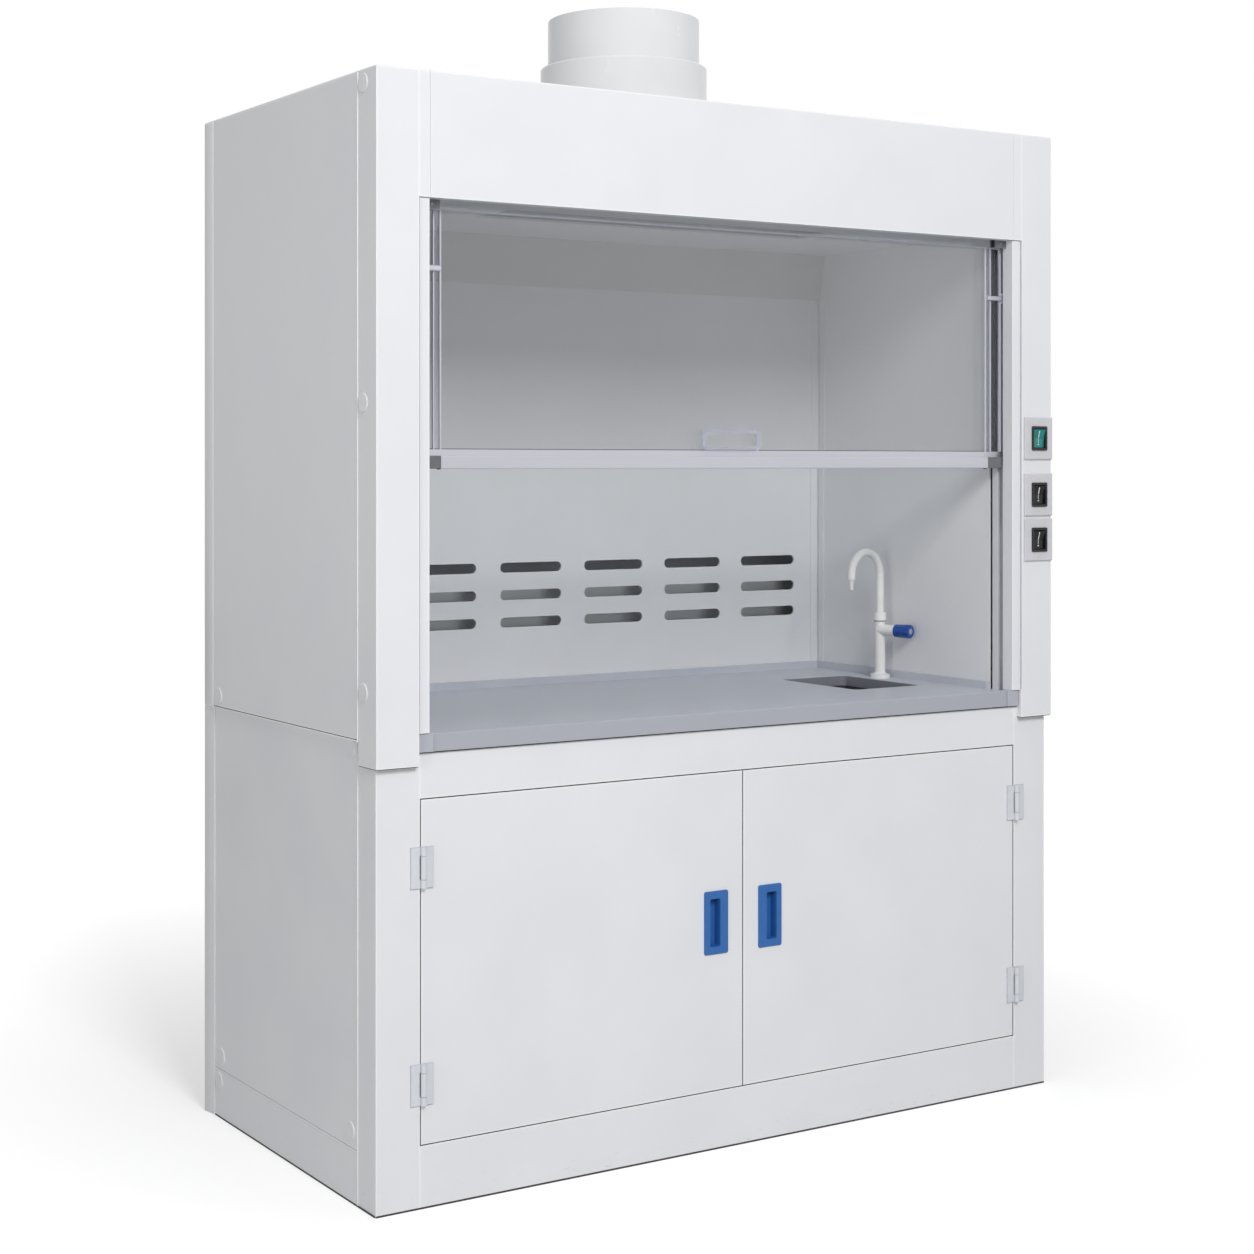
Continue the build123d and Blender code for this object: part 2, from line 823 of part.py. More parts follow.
# Upper posts: cover columns that hang over the base cabinet's corners
with BuildPart() as upper_posts:
    with BuildSketch(Plane.XY.offset(post_bottom)):
        rectangle_between(post_inner, half, front, at(post_depth))
        rectangle_between(
            post_inner + steel, half - steel, at(steel), at(post_depth), mode=Mode.SUBTRACT
        )
        rectangle_between(
            post_inner, post_inner + steel,
            at(front_setback), at(post_depth), mode=Mode.SUBTRACT,
        )
    extrude(amount=body_height - post_bottom)
    with BuildSketch(Plane.XY.offset(body_height - steel)):
        rectangle_between(post_inner, half, front, at(post_depth))
    extrude(amount=steel)
    mirror(about=Plane.YZ)
    with BuildSketch(Plane.XZ.offset(-front)):
        with Locations([(half - plate_width / 2, z) for z in plate_middles]):
            Rectangle(switch_body + 2 * switch_fit, switch_body_height + 2 * switch_fit)
    extrude(amount=-steel, mode=Mode.SUBTRACT)
keep(upper_posts, "upper_posts")

upper_panel_front = at(post_depth) + panel_reveal
with BuildPart() as upper_side_panels:
    with BuildSketch(Plane.YZ.offset(half - panel_fold)):
        rectangle_between(upper_panel_front, back, side_seam + seam, roof)
    extrude(amount=panel_fold + panel_proud)
    fillet(upper_side_panels.faces().group_by(Axis.X)[-1].edges(), radius=panel_edge)
    with BuildSketch(Plane.YZ.offset(half - panel_fold)):
        rectangle_between(
            upper_panel_front + steel, back - steel, side_seam + seam + steel, roof - steel
        )
    extrude(amount=panel_fold + panel_proud - steel, mode=Mode.SUBTRACT)
    mirror(about=Plane.YZ)
keep(upper_side_panels, "upper_side_panels")

# Header: the long front panel and a narrow filler at each end, all C-shaped folds
with BuildPart() as header:
    with BuildSketch(Plane.YZ):
        rectangle_between(front, at(header_depth), header_bottom, body_height)
        rectangle_between(
            at(steel), at(header_depth), header_bottom + steel,
            body_height - steel, mode=Mode.SUBTRACT,
        )
    extrude(amount=opening_half, both=True)
    with BuildSketch(Plane.YZ.offset(opening_half + seam)):
        rectangle_between(front, at(header_depth), header_bottom, body_height)
        rectangle_between(
            at(steel), at(header_depth), header_bottom + steel,
            body_height - steel, mode=Mode.SUBTRACT,
        )
    filler = extrude(amount=strip_width - seam)
    mirror(filler, about=Plane.YZ)
keep(header, "header")

# Jambs: angle strips beside the opening, each with a return towards the sash
with BuildPart() as jambs:
    with BuildSketch(Plane.XY.offset(block_top)):
        rectangle_between(
            opening_half, post_inner - jamb_gap, at(jamb_setback), at(jamb_setback) + steel
        )
        rectangle_between(
            opening_half, opening_half + steel, at(jamb_setback), at(jamb_return) - seam
        )
    extrude(amount=header_bottom - jamb_gap - block_top)
    mirror(about=Plane.YZ)
keep(jambs, "jambs")

# Roof sheet, cut back round the posts and pierced for the duct
with BuildPart() as top_panel:
    with BuildSketch(Plane.XY.offset(roof)):
        rectangle_between(-half, half, at(post_depth), back)
        rectangle_between(-post_inner, post_inner, at(header_depth), at(post_depth))
        with Locations((0, at(duct_depth))):
            Circle(duct_radius + duct_fit, mode=Mode.SUBTRACT)
    extrude(amount=top_sheet)
keep(top_panel, "top_panel")

# Chamber lining boards stand on the worktop outside its rim
with BuildPart() as liners:
    with BuildSketch(Plane.YZ.offset(chamber_half)):
        rectangle_between(at(liner_front), baffle_back, worktop_height, ceiling_height)
    extrude(amount=board)
    mirror(about=Plane.YZ)
keep(liners, "liners")

with BuildPart() as baffle_main:
    with BuildSketch(Plane.XZ.offset(-baffle_back)):
        rectangle_between(-chamber_half, chamber_half, rim_top, baffle_top)
        with Locations((slot_middle_x, slot_middle_z)):
            with GridLocations(slot_pitch_x, slot_pitch_z, slot_columns, slot_rows):
                SlotOverall(slot_length, slot_height, mode=Mode.SUBTRACT)
    extrude(amount=board)
keep(baffle_main, "baffle_main")

# The upper baffle leans forward to the ceiling
with BuildPart() as baffle_upper:
    with BuildSketch(Plane.YZ):
        with BuildLine():
            Polyline(
                (baffle_front, baffle_top),
                (baffle_back, baffle_top),
                (baffle_back - baffle_lean, ceiling_height),
                (baffle_front - baffle_lean, ceiling_height),
                close=True,
            )
        make_face()
    extrude(amount=chamber_half, both=True)
keep(baffle_upper, "baffle_upper")

with BuildPart() as ceiling_panel:
    with BuildSketch(Plane.XY.offset(ceiling_height)):
        rectangle_between(
            -chamber_half - board, chamber_half + board,
            at(track_back) + ceiling_gap, baffle_back,
        )
        with Locations((0, at(lamp_depth))):
            Rectangle(lamp_length, lamp_width, mode=Mode.SUBTRACT)
    extrude(amount=board)
keep(ceiling_panel, "ceiling_panel")

# Cover strips in the two back corners, a pair to each corner with a groove between
with BuildPart() as corner_strips:
    with BuildSketch(Plane.XY.offset(rim_top)):
        rectangle_between(
            chamber_half - corner_groove - corner_leg, chamber_half - corner_groove,
            baffle_front - corner_thick, baffle_front,
        )
        rectangle_between(
            chamber_half - corner_thick, chamber_half,
            baffle_front - corner_groove - corner_leg, baffle_front - corner_groove,
        )
    extrude(amount=baffle_top - rim_top)
    mirror(about=Plane.YZ)
keep(corner_strips, "corner_strips")

# Lamp: a glass window on the ceiling opening and a folded housing over it
ceiling_top = ceiling_height + board
lamp_y = at(lamp_depth)
with BuildPart() as lamp_window:
    with BuildSketch(Plane.XY.offset(ceiling_top)):
        with Locations((0, lamp_y)):
            Rectangle(lamp_length + 2 * lamp_overlap, lamp_width + 2 * lamp_overlap)
    extrude(amount=pane)
keep(lamp_window, "lamp_window")

lamp_outer = 2 * (lamp_overlap + steel + seam)
with BuildPart() as lamp_housing:
    with BuildSketch(Plane.XY.offset(ceiling_top)):
        with Locations((0, lamp_y)):
            Rectangle(lamp_length + lamp_outer, lamp_width + lamp_outer)
    extrude(amount=lamp_height)
    offset(amount=-steel, openings=lamp_housing.faces().sort_by(Axis.Z)[0])
keep(lamp_housing, "lamp_housing")

# Lamp tube and the holders that hang it from the housing
lamp_inner_half = lamp_length / 2 + lamp_overlap + seam
light_z = ceiling_top + lamp_height - steel - tube_light_drop
with BuildPart() as lamp_holders:
    with BuildSketch(Plane.YZ.offset(lamp_inner_half)):
        rectangle_between(
            lamp_y - holder_block / 2, lamp_y + holder_block / 2,
            light_z - holder_block / 2, ceiling_top + lamp_height - steel,
        )
    extrude(amount=-holder_thick)
    mirror(about=Plane.YZ)
keep(lamp_holders, "lamp_holders")

with BuildPart() as lamp_tube:
    with BuildSketch(Plane.YZ):
        with Locations((lamp_y, light_z)):
            Circle(tube_light_radius)
    extrude(amount=lamp_inner_half - holder_thick, both=True)
keep(lamp_tube, "lamp_tube")

# Exhaust duct: a plain pipe in a wider collar that stands on the roof
with BuildPart() as duct_collar:
    with BuildSketch(Plane((0, at(duct_depth), body_height), x_dir=(1, 0, 0), z_dir=(0, -1, 0))):
        with BuildLine():
            Polyline(
                (collar_outer - collar_wall, 0),
                (collar_outer, 0),
                (collar_outer, collar_rise - collar_edge),
                (collar_outer - collar_edge, collar_rise),
                (duct_radius + duct_fit, collar_rise),
                (duct_radius + duct_fit, collar_rise - collar_lip),
                (collar_outer - collar_wall, collar_rise - collar_lip),
                close=True,
            )
        make_face()
    revolve(axis=Axis((0, at(duct_depth), 0), (0, 0, 1)))
keep(duct_collar, "duct_collar")

with BuildPart() as duct_pipe:
    with BuildSketch(Plane.XY.offset(body_height - duct_foot)):
        with Locations((0, at(duct_depth))):
            Circle(duct_radius)
            Circle(duct_radius - duct_wall, mode=Mode.SUBTRACT)
    extrude(amount=duct_top - body_height + duct_foot)
keep(duct_pipe, "duct_pipe")

# Sash tracks: an extruded channel with a closed box behind it. A long slot in the web
# lets each belt clamp reach the belt beside it.
clamp_slot_low = clamp_middle - sash_travel_down - clamp_height / 2 - slot_overrun
clamp_slot_high = clamp_middle + sash_travel_up + clamp_height / 2 + slot_overrun
belt_middle = belt_front + belt_thick / 2
slot_half_depth = clamp_half_depth + slot_clearance
with BuildPart() as sash_tracks:
    with BuildSketch(Plane.XY.offset(worktop_height)):
        rectangle_between(track_face, track_web + track_wall, at(track_front), at(track_back))
        rectangle_between(
            track_face, track_web, at(track_front) + track_wall, at(track_middle),
            mode=Mode.SUBTRACT,
        )
        rectangle_between(
            track_face + track_wall, track_web, at(track_middle) + track_wall,
            at(track_back) - track_wall, mode=Mode.SUBTRACT,
        )
    extrude(amount=track_top - worktop_height)
    with BuildSketch(Plane.YZ.offset(track_web)):
        rectangle_between(
            at(belt_middle) - slot_half_depth, at(belt_middle) + slot_half_depth,
            clamp_slot_low, clamp_slot_high,
        )
    extrude(amount=track_wall, mode=Mode.SUBTRACT)
    mirror(about=Plane.YZ)
keep(sash_tracks, "sash_tracks")

# The fixed pane above the opening, between slim stops on the faces of the tracks
pane_half = track_face - pane_side_gap
with BuildPart() as fixed_pane:
    with BuildSketch(facing(pane_front + pane)):
        rectangle_between(-pane_half, pane_half, pane_bottom, ceiling_height - seam)
    extrude(amount=pane)
keep(fixed_pane, "fixed_pane")

with BuildPart() as pane_holders:
    with BuildSketch(Plane.XY.offset(pane_bottom - holder_foot)):
        rectangle_between(
            track_face - holder_width, track_face,
            at(pane_front) - holder_depth, at(pane_front + pane) + holder_depth,
        )
        rectangle_between(
            track_face - holder_width, pane_half,
            at(pane_front), at(pane_front + pane), mode=Mode.SUBTRACT,
        )
    extrude(amount=ceiling_height - seam - pane_bottom + holder_foot)
    with BuildSketch(Plane.XY.offset(pane_bottom - holder_foot)):
        rectangle_between(
            track_face - holder_width, track_face,
            at(pane_front), at(pane_front + pane),
        )
    extrude(amount=holder_foot)
    mirror(about=Plane.YZ)
keep(pane_holders, "pane_holders")

# Sash: glass, bottom rail, end blocks, stiles with the top channel, handle and clamps
rail_top_z = sash_bottom + rail_height
channel_top = rail_top_z + channel_height
glass_foot = rail_top_z + channel_floor
glass_half = sash_half - glass_end_gap
with BuildPart() as sash_glass:
    with BuildSketch(facing(glass_front + pane)):
        rectangle_between(-glass_half, glass_half, glass_foot, sash_top - top_floor)
    extrude(amount=pane)
keep(sash_glass, "sash_glass")

with BuildPart() as sash_rail:
    with BuildSketch(Plane.YZ):
        rectangle_between(
            at(rail_front), at(rail_front) + rail_depth, sash_bottom, rail_top_z
        )
    extrude(amount=sash_rail_half, both=True)
    fillet(sash_rail.edges().filter_by(Axis.X).group_by(Axis.Y)[0], radius=steel)
    with BuildSketch(Plane.YZ):
        rectangle_between(
            at(channel_front), at(channel_front) + channel_depth, rail_top_z, channel_top
        )
    extrude(amount=sash_half, both=True)
    with BuildSketch(Plane.YZ):
        rectangle_between(at(glass_front), at(glass_front) + pane, glass_foot, channel_top)
    extrude(amount=glass_half, both=True, mode=Mode.SUBTRACT)
keep(sash_rail, "sash_rail")

with BuildPart() as sash_end_blocks:
    with BuildSketch(facing(end_block_front + end_block_depth)):
        rectangle_between(sash_rail_half, sash_half, sash_bottom, rail_top_z)
    extrude(amount=end_block_depth)
    fillet(sash_end_blocks.edges().filter_by(Axis.X).group_by(Axis.Y)[0], radius=steel)
    mirror(about=Plane.YZ)
keep(sash_end_blocks, "sash_end_blocks")

slim_stile = sash_rail_half + slim_stile_offset
stile_places = (
    (sash_rail_half - stile_width, sash_rail_half),
    (slim_stile, slim_stile + slim_stile_width),
    (sash_half - stile_width, sash_half),
)
with BuildPart() as sash_stiles:
    with BuildSketch(facing(glass_front)):
        for inner, outer in stile_places:
            rectangle_between(inner, outer, channel_top, sash_top - top_channel_height)
            rectangle_between(-outer, -inner, channel_top, sash_top - top_channel_height)
    extrude(amount=glass_front - stile_front)
    with BuildSketch(Plane.YZ):
        rectangle_between(
            at(stile_front), at(2 * glass_front + pane - stile_front),
            sash_top - top_channel_height, sash_top,
        )
        rectangle_between(
            at(glass_front), at(glass_front) + pane,
            sash_top - top_channel_height, sash_top - top_floor, mode=Mode.SUBTRACT,
        )
    extrude(amount=sash_half, both=True)
keep(sash_stiles, "sash_stiles")

# Clear moulded lift handle, a closed loop bonded to the glass just above the channel
with BuildPart() as sash_handle:
    with BuildSketch(facing(glass_front)):
        with Locations((handle_shift, channel_top + handle_height / 2)):
            RectangleRounded(handle_width, handle_height, handle_corner)
        with Locations((handle_shift, channel_top + (handle_height + handle_foot - handle_bar) / 2)):
            RectangleRounded(
                handle_width - 2 * handle_bar, handle_height - handle_foot - handle_bar,
                handle_corner / 2, mode=Mode.SUBTRACT,
            )
    extrude(amount=handle_depth)
keep(sash_handle, "sash_handle")

# Belt clamps: a clip across each side of the sash, a guide block in the track, and a
# jaw that reaches through the track's slot and grips the belt
jaw_outer = belt_x + belt_width / 2 + clamp_half_depth / 2
jaw_low = clamp_middle - clamp_height / 2
jaw_high = clamp_middle + clamp_height / 2
guide_front = track_front + track_wall + track_clearance
guide_back = track_middle - track_clearance
with BuildPart() as belt_clamps:
    with BuildSketch(facing(stile_front)):
        rectangle_between(
            sash_rail_half, sash_half + track_clearance,
            clamp_middle - clip_height / 2, clamp_middle + clip_height / 2,
        )
    extrude(amount=stile_front - guide_front)
    fillet(belt_clamps.edges().filter_by(Axis.X).group_by(Axis.Y)[0], radius=clip_edge)
    with BuildSketch(Plane.XY.offset(jaw_low)):
        rectangle_between(sash_half, track_web - track_clearance, at(guide_front), at(guide_back))
        rectangle_between(
            sash_half, jaw_outer,
            at(belt_middle) - clamp_half_depth, at(belt_middle) + clamp_half_depth,
        )
        rectangle_between(
            belt_x - belt_width / 2 - belt_gap, jaw_outer,
            at(belt_front) - belt_gap, at(belt_front) + belt_thick + belt_gap, mode=Mode.SUBTRACT,
        )
    extrude(amount=jaw_high - jaw_low)
    mirror(about=Plane.YZ)
keep(belt_clamps, "belt_clamps")

# Belts: an endless belt in each side column, over an upper and a lower pulley
loop_radius = belt_loop_width / 2
axle_y = at(belt_front) + belt_thick + loop_radius
axle_span = upper_axle - lower_axle
axle_centre = (upper_axle + lower_axle) / 2
with BuildPart() as belts:
    with BuildSketch(Plane.YZ.offset(belt_x - belt_width / 2)):
        with Locations((axle_y, axle_centre)):
            SlotCenterToCenter(axle_span, belt_loop_width + 2 * belt_thick, rotation=90)
            SlotCenterToCenter(axle_span, belt_loop_width, rotation=90, mode=Mode.SUBTRACT)
    extrude(amount=belt_width)
    mirror(about=Plane.YZ)
keep(belts, "belts")

# Pulleys: the upper pair shares one shaft across the hood, so both sides move together
pulley_radius = loop_radius - pulley_clearance
pulley_half = belt_width / 2 + pulley_clearance
shaft_end = belt_x + pulley_half + pulley_flange_thick + bracket_gap + bracket_thick
with BuildPart() as drive_shaft:
    with BuildSketch(Plane.YZ):
        with Locations((axle_y, upper_axle)):
            Circle(shaft_radius)
    extrude(amount=shaft_end, both=True)
    with BuildSketch(Plane.YZ.offset(belt_x)):
        with Locations((axle_y, upper_axle)):
            Circle(pulley_radius)
    rim = extrude(amount=pulley_half, both=True)
    with BuildSketch(
        Plane.YZ.offset(belt_x - pulley_half),
        Plane.YZ.offset(belt_x + pulley_half + pulley_flange_thick),
    ):
        with Locations((axle_y, upper_axle)):
            Circle(pulley_radius + pulley_flange)
    flanges = extrude(amount=-pulley_flange_thick)
    mirror([rim, flanges], about=Plane.YZ)
keep(drive_shaft, "drive_shaft")

for side, side_name in ((-1, "left"), (1, "right")):
    with BuildPart() as lower_pulley:
        with BuildSketch(Plane.YZ.offset(side * belt_x)):
            with Locations((axle_y, lower_axle)):
                Circle(pulley_radius)
        extrude(amount=pulley_half, both=True)
        with BuildSketch(
            Plane.YZ.offset(side * belt_x - pulley_half),
            Plane.YZ.offset(side * belt_x + pulley_half + pulley_flange_thick),
        ):
            with Locations((axle_y, lower_axle)):
                Circle(pulley_radius + pulley_flange)
        extrude(amount=-pulley_flange_thick)
        with BuildSketch(Plane.YZ.offset(side * belt_x)):
            with Locations((axle_y, lower_axle)):
                Circle(axle_radius + axle_clearance)
        extrude(amount=belt_width, both=True, mode=Mode.SUBTRACT)
    keep(lower_pulley, f"lower_pulley_{side_name}")

    # Counterweight on the back run of the belt, grooved so that the belt passes through
    weight_front = belt_front + 2 * belt_thick + belt_loop_width - clamp_half_depth
    with BuildPart() as counterweight:
        with BuildSketch(Plane.XY.offset(weight_middle - weight_length / 2)):
            rectangle_between(
                *sorted((
                    side * (belt_x - belt_width / 2 - clamp_half_depth),
                    side * (belt_x - belt_width / 2 - clamp_half_depth + weight_width),
                )),
                at(weight_front), at(weight_front) + weight_depth,
            )
            rectangle_between(
                side * belt_x - belt_width / 2 - belt_gap,
                side * belt_x + belt_width / 2 + belt_gap,
                at(weight_front), at(weight_front) + clamp_half_depth + belt_thick, mode=Mode.SUBTRACT,
            )
        extrude(amount=weight_length)
    keep(counterweight, f"counterweight_{side_name}")

# Brackets: the upper pair hangs from the roof and carries the shaft, the lower pair stands
# on the worktop and carries the fixed axles
bracket_x = shaft_end - bracket_thick
with BuildPart() as pulley_brackets:
    with BuildSketch(Plane.YZ.offset(bracket_x)):
        rectangle_between(
            axle_y - bracket_width / 2, axle_y + bracket_width / 2,
            upper_axle - bracket_width / 2, roof,
        )
        with Locations((axle_y, upper_axle)):
            Circle(shaft_radius + axle_clearance, mode=Mode.SUBTRACT)
        rectangle_between(
            axle_y - bracket_width / 2, axle_y + bracket_width / 2,
            worktop_height, lower_axle + bracket_width / 2,
        )
    extrude(amount=bracket_thick)
    with BuildSketch(Plane.XZ.offset(-axle_y - bracket_width / 2)):
        rectangle_between(bracket_x, bracket_x + bracket_foot, roof - bracket_thick, roof)
        rectangle_between(
            bracket_x, bracket_x + bracket_foot, worktop_height, worktop_height + bracket_thick
        )
    extrude(amount=bracket_width)
    with BuildSketch(Plane.YZ.offset(bracket_x)):
        with Locations((axle_y, lower_axle)):
            Circle(axle_radius)
    extrude(amount=-bracket_gap - 2 * pulley_half - 2 * pulley_flange_thick)
    mirror(about=Plane.YZ)
keep(pulley_brackets, "pulley_brackets")

# Switches: three plates on the right post, each with a framed rocker
plate_x = half - plate_width / 2
with BuildPart() as switch_plates:
    with BuildSketch(Plane.XZ.offset(-front)):
        with Locations([(plate_x, z) for z in plate_middles]):
            Rectangle(plate_width, plate_height - seam)
    extrude(amount=plate_thick)
    chamfer(switch_plates.faces().group_by(Axis.Y)[0].edges(), length=steel)
    with BuildSketch(Plane.XZ.offset(-front)):
        with Locations([(plate_x, z) for z in plate_middles]):
            Rectangle(switch_body + switch_fit, switch_body_height + switch_fit)
    extrude(amount=plate_thick, mode=Mode.SUBTRACT)
keep(switch_plates, "switch_plates")

with BuildPart() as switch_bezels:
    with BuildSketch(Plane.XZ.offset(-front + plate_thick)):
        with Locations([(plate_x, z) for z in plate_middles]):
            RectangleRounded(bezel_width, bezel_height, bezel_proud)
    extrude(amount=bezel_proud)
    with BuildSketch(Plane.XZ.offset(-front + plate_thick)):
        with Locations([(plate_x, z) for z in plate_middles]):
            Rectangle(switch_body, switch_body_height)
    extrude(amount=-switch_body_depth)
    with BuildSketch(Plane.XZ.offset(-front + switch_reach)):
        with Locations([(plate_x, z) for z in plate_middles]):
            Rectangle(bezel_width - 2 * bezel_wall, bezel_height - 2 * bezel_wall)
    extrude(amount=-rocker_pocket, mode=Mode.SUBTRACT)
keep(switch_bezels, "switch_bezels")

# Rockers: a shallow V seen from the side, stored tilted with the lower end pressed in
rocker_width = bezel_width - 2 * bezel_wall - 2 * rocker_gap
rocker_lean = (0, -sin(radians(rocker_tilt)), cos(radians(rocker_tilt)))
for middle, place in zip(plate_middles, ("upper", "middle", "lower")):
    pivot = (plate_x, front - rocker_pivot, middle)
    with BuildPart() as rocker:
        with BuildSketch(Plane(pivot, x_dir=rocker_lean, z_dir=(1, 0, 0))):
            with BuildLine():
                Polyline(
                    (-rocker_half, -rocker_back),
                    (-rocker_half, rocker_end_height),
                    (0, rocker_dip),
                    (rocker_half, rocker_end_height),
                    (rocker_half, -rocker_back),
                    close=True,
                )
            make_face()
        extrude(amount=rocker_width / 2, both=True)
    keep(rocker, f"rocker_{place}")

# Hole plugs: round caps over the fixing holes in both sides
with BuildPart() as hole_plugs:
    with BuildSketch(Plane.YZ.offset(base_half + panel_proud)):
        with Locations([(at(depth), height) for depth, height in lower_front_plugs]):
            Circle(plug_radius)
        with Locations([(back - inset, height) for inset, height in lower_rear_plugs]):
            Circle(plug_radius)
    extrude(amount=plug_thick)
    fillet(hole_plugs.faces().group_by(Axis.X)[-1].edges(), radius=plug_edge)
    with BuildSketch(Plane.YZ.offset(half)):
        with Locations([(at(post_plug_depth), height) for height in post_plug_heights]):
            Circle(plug_radius)
    extrude(amount=plug_thick)
    fillet(hole_plugs.faces().group_by(Axis.X)[-1].edges(), radius=plug_edge)
    with BuildSketch(Plane.YZ.offset(half + panel_proud)):
        with Locations((back - rear_plug_inset, upper_plug_height)):
            Circle(plug_radius)
    extrude(amount=plug_thick)
    fillet(hole_plugs.faces().group_by(Axis.X)[-1].edges(), radius=plug_edge)
    mirror(about=Plane.YZ)
keep(hole_plugs, "hole_plugs")
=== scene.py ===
# %% [markdown]
# The object is a laboratory fume hood: a steel cabinet with a counterweighted glass sash, a
# grey worktop with a sink and a tap, and a round exhaust duct on its roof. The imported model
# already holds every main piece in metres, so this file dresses it: it gives each piece the
# finish of its real material and adds the small pieces that are too fine for the model.

# %% Load the model
from math import radians

import bmesh
import bpy
import numpy as np
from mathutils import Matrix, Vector


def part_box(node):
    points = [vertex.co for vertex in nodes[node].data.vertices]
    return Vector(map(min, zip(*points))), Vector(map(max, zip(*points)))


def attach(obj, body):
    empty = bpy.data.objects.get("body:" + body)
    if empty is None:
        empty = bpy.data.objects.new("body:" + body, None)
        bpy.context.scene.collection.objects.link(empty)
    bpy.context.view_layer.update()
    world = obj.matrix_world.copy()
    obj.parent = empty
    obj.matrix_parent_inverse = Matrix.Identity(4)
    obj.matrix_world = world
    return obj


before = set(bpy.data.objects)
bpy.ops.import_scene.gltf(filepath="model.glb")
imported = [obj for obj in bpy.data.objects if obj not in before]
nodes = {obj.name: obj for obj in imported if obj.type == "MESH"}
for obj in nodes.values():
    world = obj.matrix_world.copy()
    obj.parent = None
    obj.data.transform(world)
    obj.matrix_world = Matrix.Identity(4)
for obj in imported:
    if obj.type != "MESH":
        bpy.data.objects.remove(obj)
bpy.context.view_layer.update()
print(len(nodes), "model pieces loaded")

# %% [markdown]
# The camera comes first, because every later choice is judged through it. The photograph was
# taken at about the height of the worker's chest with the lens held level, so that upright
# edges stay upright. The view was then cropped off centre, which a lens shift repeats without
# turning the camera.

# %% Camera
SENSOR_MM = 36.0
LENS_MM = 61.93
CAMERA_PLACE = (-2.826, -4.1585, 1.471)
CAMERA_YAW = -31.33
LENS_SHIFT = (0.0775, -0.129)

camera_data = bpy.data.cameras.new("camera")
camera_data.sensor_width = SENSOR_MM
camera_data.lens = LENS_MM
camera_data.shift_x, camera_data.shift_y = LENS_SHIFT
camera = bpy.data.objects.new("camera", camera_data)
camera.location = CAMERA_PLACE
camera.rotation_euler = (radians(90), 0, radians(CAMERA_YAW))
bpy.context.scene.collection.objects.link(camera)
bpy.context.scene.camera = camera
print("camera", LENS_MM, "mm")

# %% [markdown]
# Colours are written as sRGB hex values, the numbers that an eye-dropper shows, but a shader
# wants linear light. One function turns them over. A second small function adds a node with
# its settings and its links, so that a material reads as a list of steps.

# %% Colour and node helpers
def linear(hex_colour):
    """sRGB hex to linear RGBA: a low value is divided by 12.92, a higher one is
    ((value + 0.055) / 1.055) to the power 2.4."""
    value = np.array([int(hex_colour[i:i + 2], 16) for i in (1, 3, 5)]) / 255
    rgb = np.where(value <= 0.04045, value / 12.92, ((value + 0.055) / 1.055) ** 2.4)
    return (*rgb.tolist(), 1.0)


def add(tree, kind, settings=None, links=None):
    """Adds a node. Settings name a property, or a socket by its name or number. Links name a
    socket of the new node and give the output that feeds it."""
    node = tree.nodes.new("ShaderNode" + kind)
    for key, value in (settings or {}).items():
        if isinstance(key, int) or key in node.inputs:
            node.inputs[key].default_value = value
        else:
            setattr(node, key, value)
    for key, source in (links or {}).items():
        tree.links.new(source, node.inputs[key])
    return node


def per_metre(millimetres):
    """Noise scale for a pattern whose grains are this many millimetres wide."""
    return 1000 / millimetres


def start_material(name):
    """An empty material with its output node, and the Object coordinates in metres."""
    material = bpy.data.materials.new(name)
    material.use_nodes = True
    tree = material.node_tree
    tree.nodes.clear()
    output = add(tree, "OutputMaterial")
    place = add(tree, "TexCoord").outputs["Object"]
    return material, tree, output, place


def finish_material(tree, output, settings, links):
    """Joins a Principled shader with these settings and links to the output."""
    shader = add(tree, "BsdfPrincipled", settings, links)
    tree.links.new(shader.outputs[0], output.inputs["Surface"])


def ramp(tree, factor, stops):
    """A colour ramp through (place, hex colour) stops."""
    node = add(tree, "ValToRGB", links={0: factor})
    elements = node.color_ramp.elements
    while len(elements) < len(stops):
        elements.new(1.0)
    for element, (place, colour) in zip(elements, stops):
        element.position = place
        element.color = linear(colour)
    return node.outputs["Color"]


print("helpers ready, mid grey is", round(linear("#808080")[0], 3))

# %% [markdown]
# Every moulded, coated or cast surface here is a plain colour with a slight unevenness, a fine
# relief and a gloss that varies a little. A cloudy noise carries the unevenness and a fine one
# the relief. One recipe covers them all, and each finish below names its own sizes, which are
# those of its real texture. Some finishes get painted light on their edges: a pale edge colour
# is a painted highlight and a dark one is painted shade, laid where a mask finds that the
# rounded normal leaves the face's own normal.

# %% The shared recipe for opaque finishes
EDGE_TURN = (0.985, 0.82)
EDGE_TINT = 0.9
NOISE_SPAN = (0.3, 0.7)


def paint_edge_light_and_shade(tree, colour, rounded, painted_edge_colour):
    """Mixes in the painted edge colour, pale for a highlight and dark for shade, up to
    EDGE_TINT, where the cosine between the rounded normal and the face's own normal falls from
    the first value of EDGE_TURN to the second."""
    face = add(tree, "NewGeometry").outputs["True Normal"]
    cosine = add(tree, "VectorMath", {"operation": "DOT_PRODUCT"}, {0: rounded, 1: face})
    mask = add(tree, "MapRange", {"From Min": EDGE_TURN[0], "From Max": EDGE_TURN[1],
                                  "To Max": EDGE_TINT}, {"Value": cosine.outputs["Value"]})
    return add(tree, "Mix", {"data_type": "RGBA", 7: linear(painted_edge_colour)},
               {0: mask.outputs[0], 6: colour}).outputs[2]


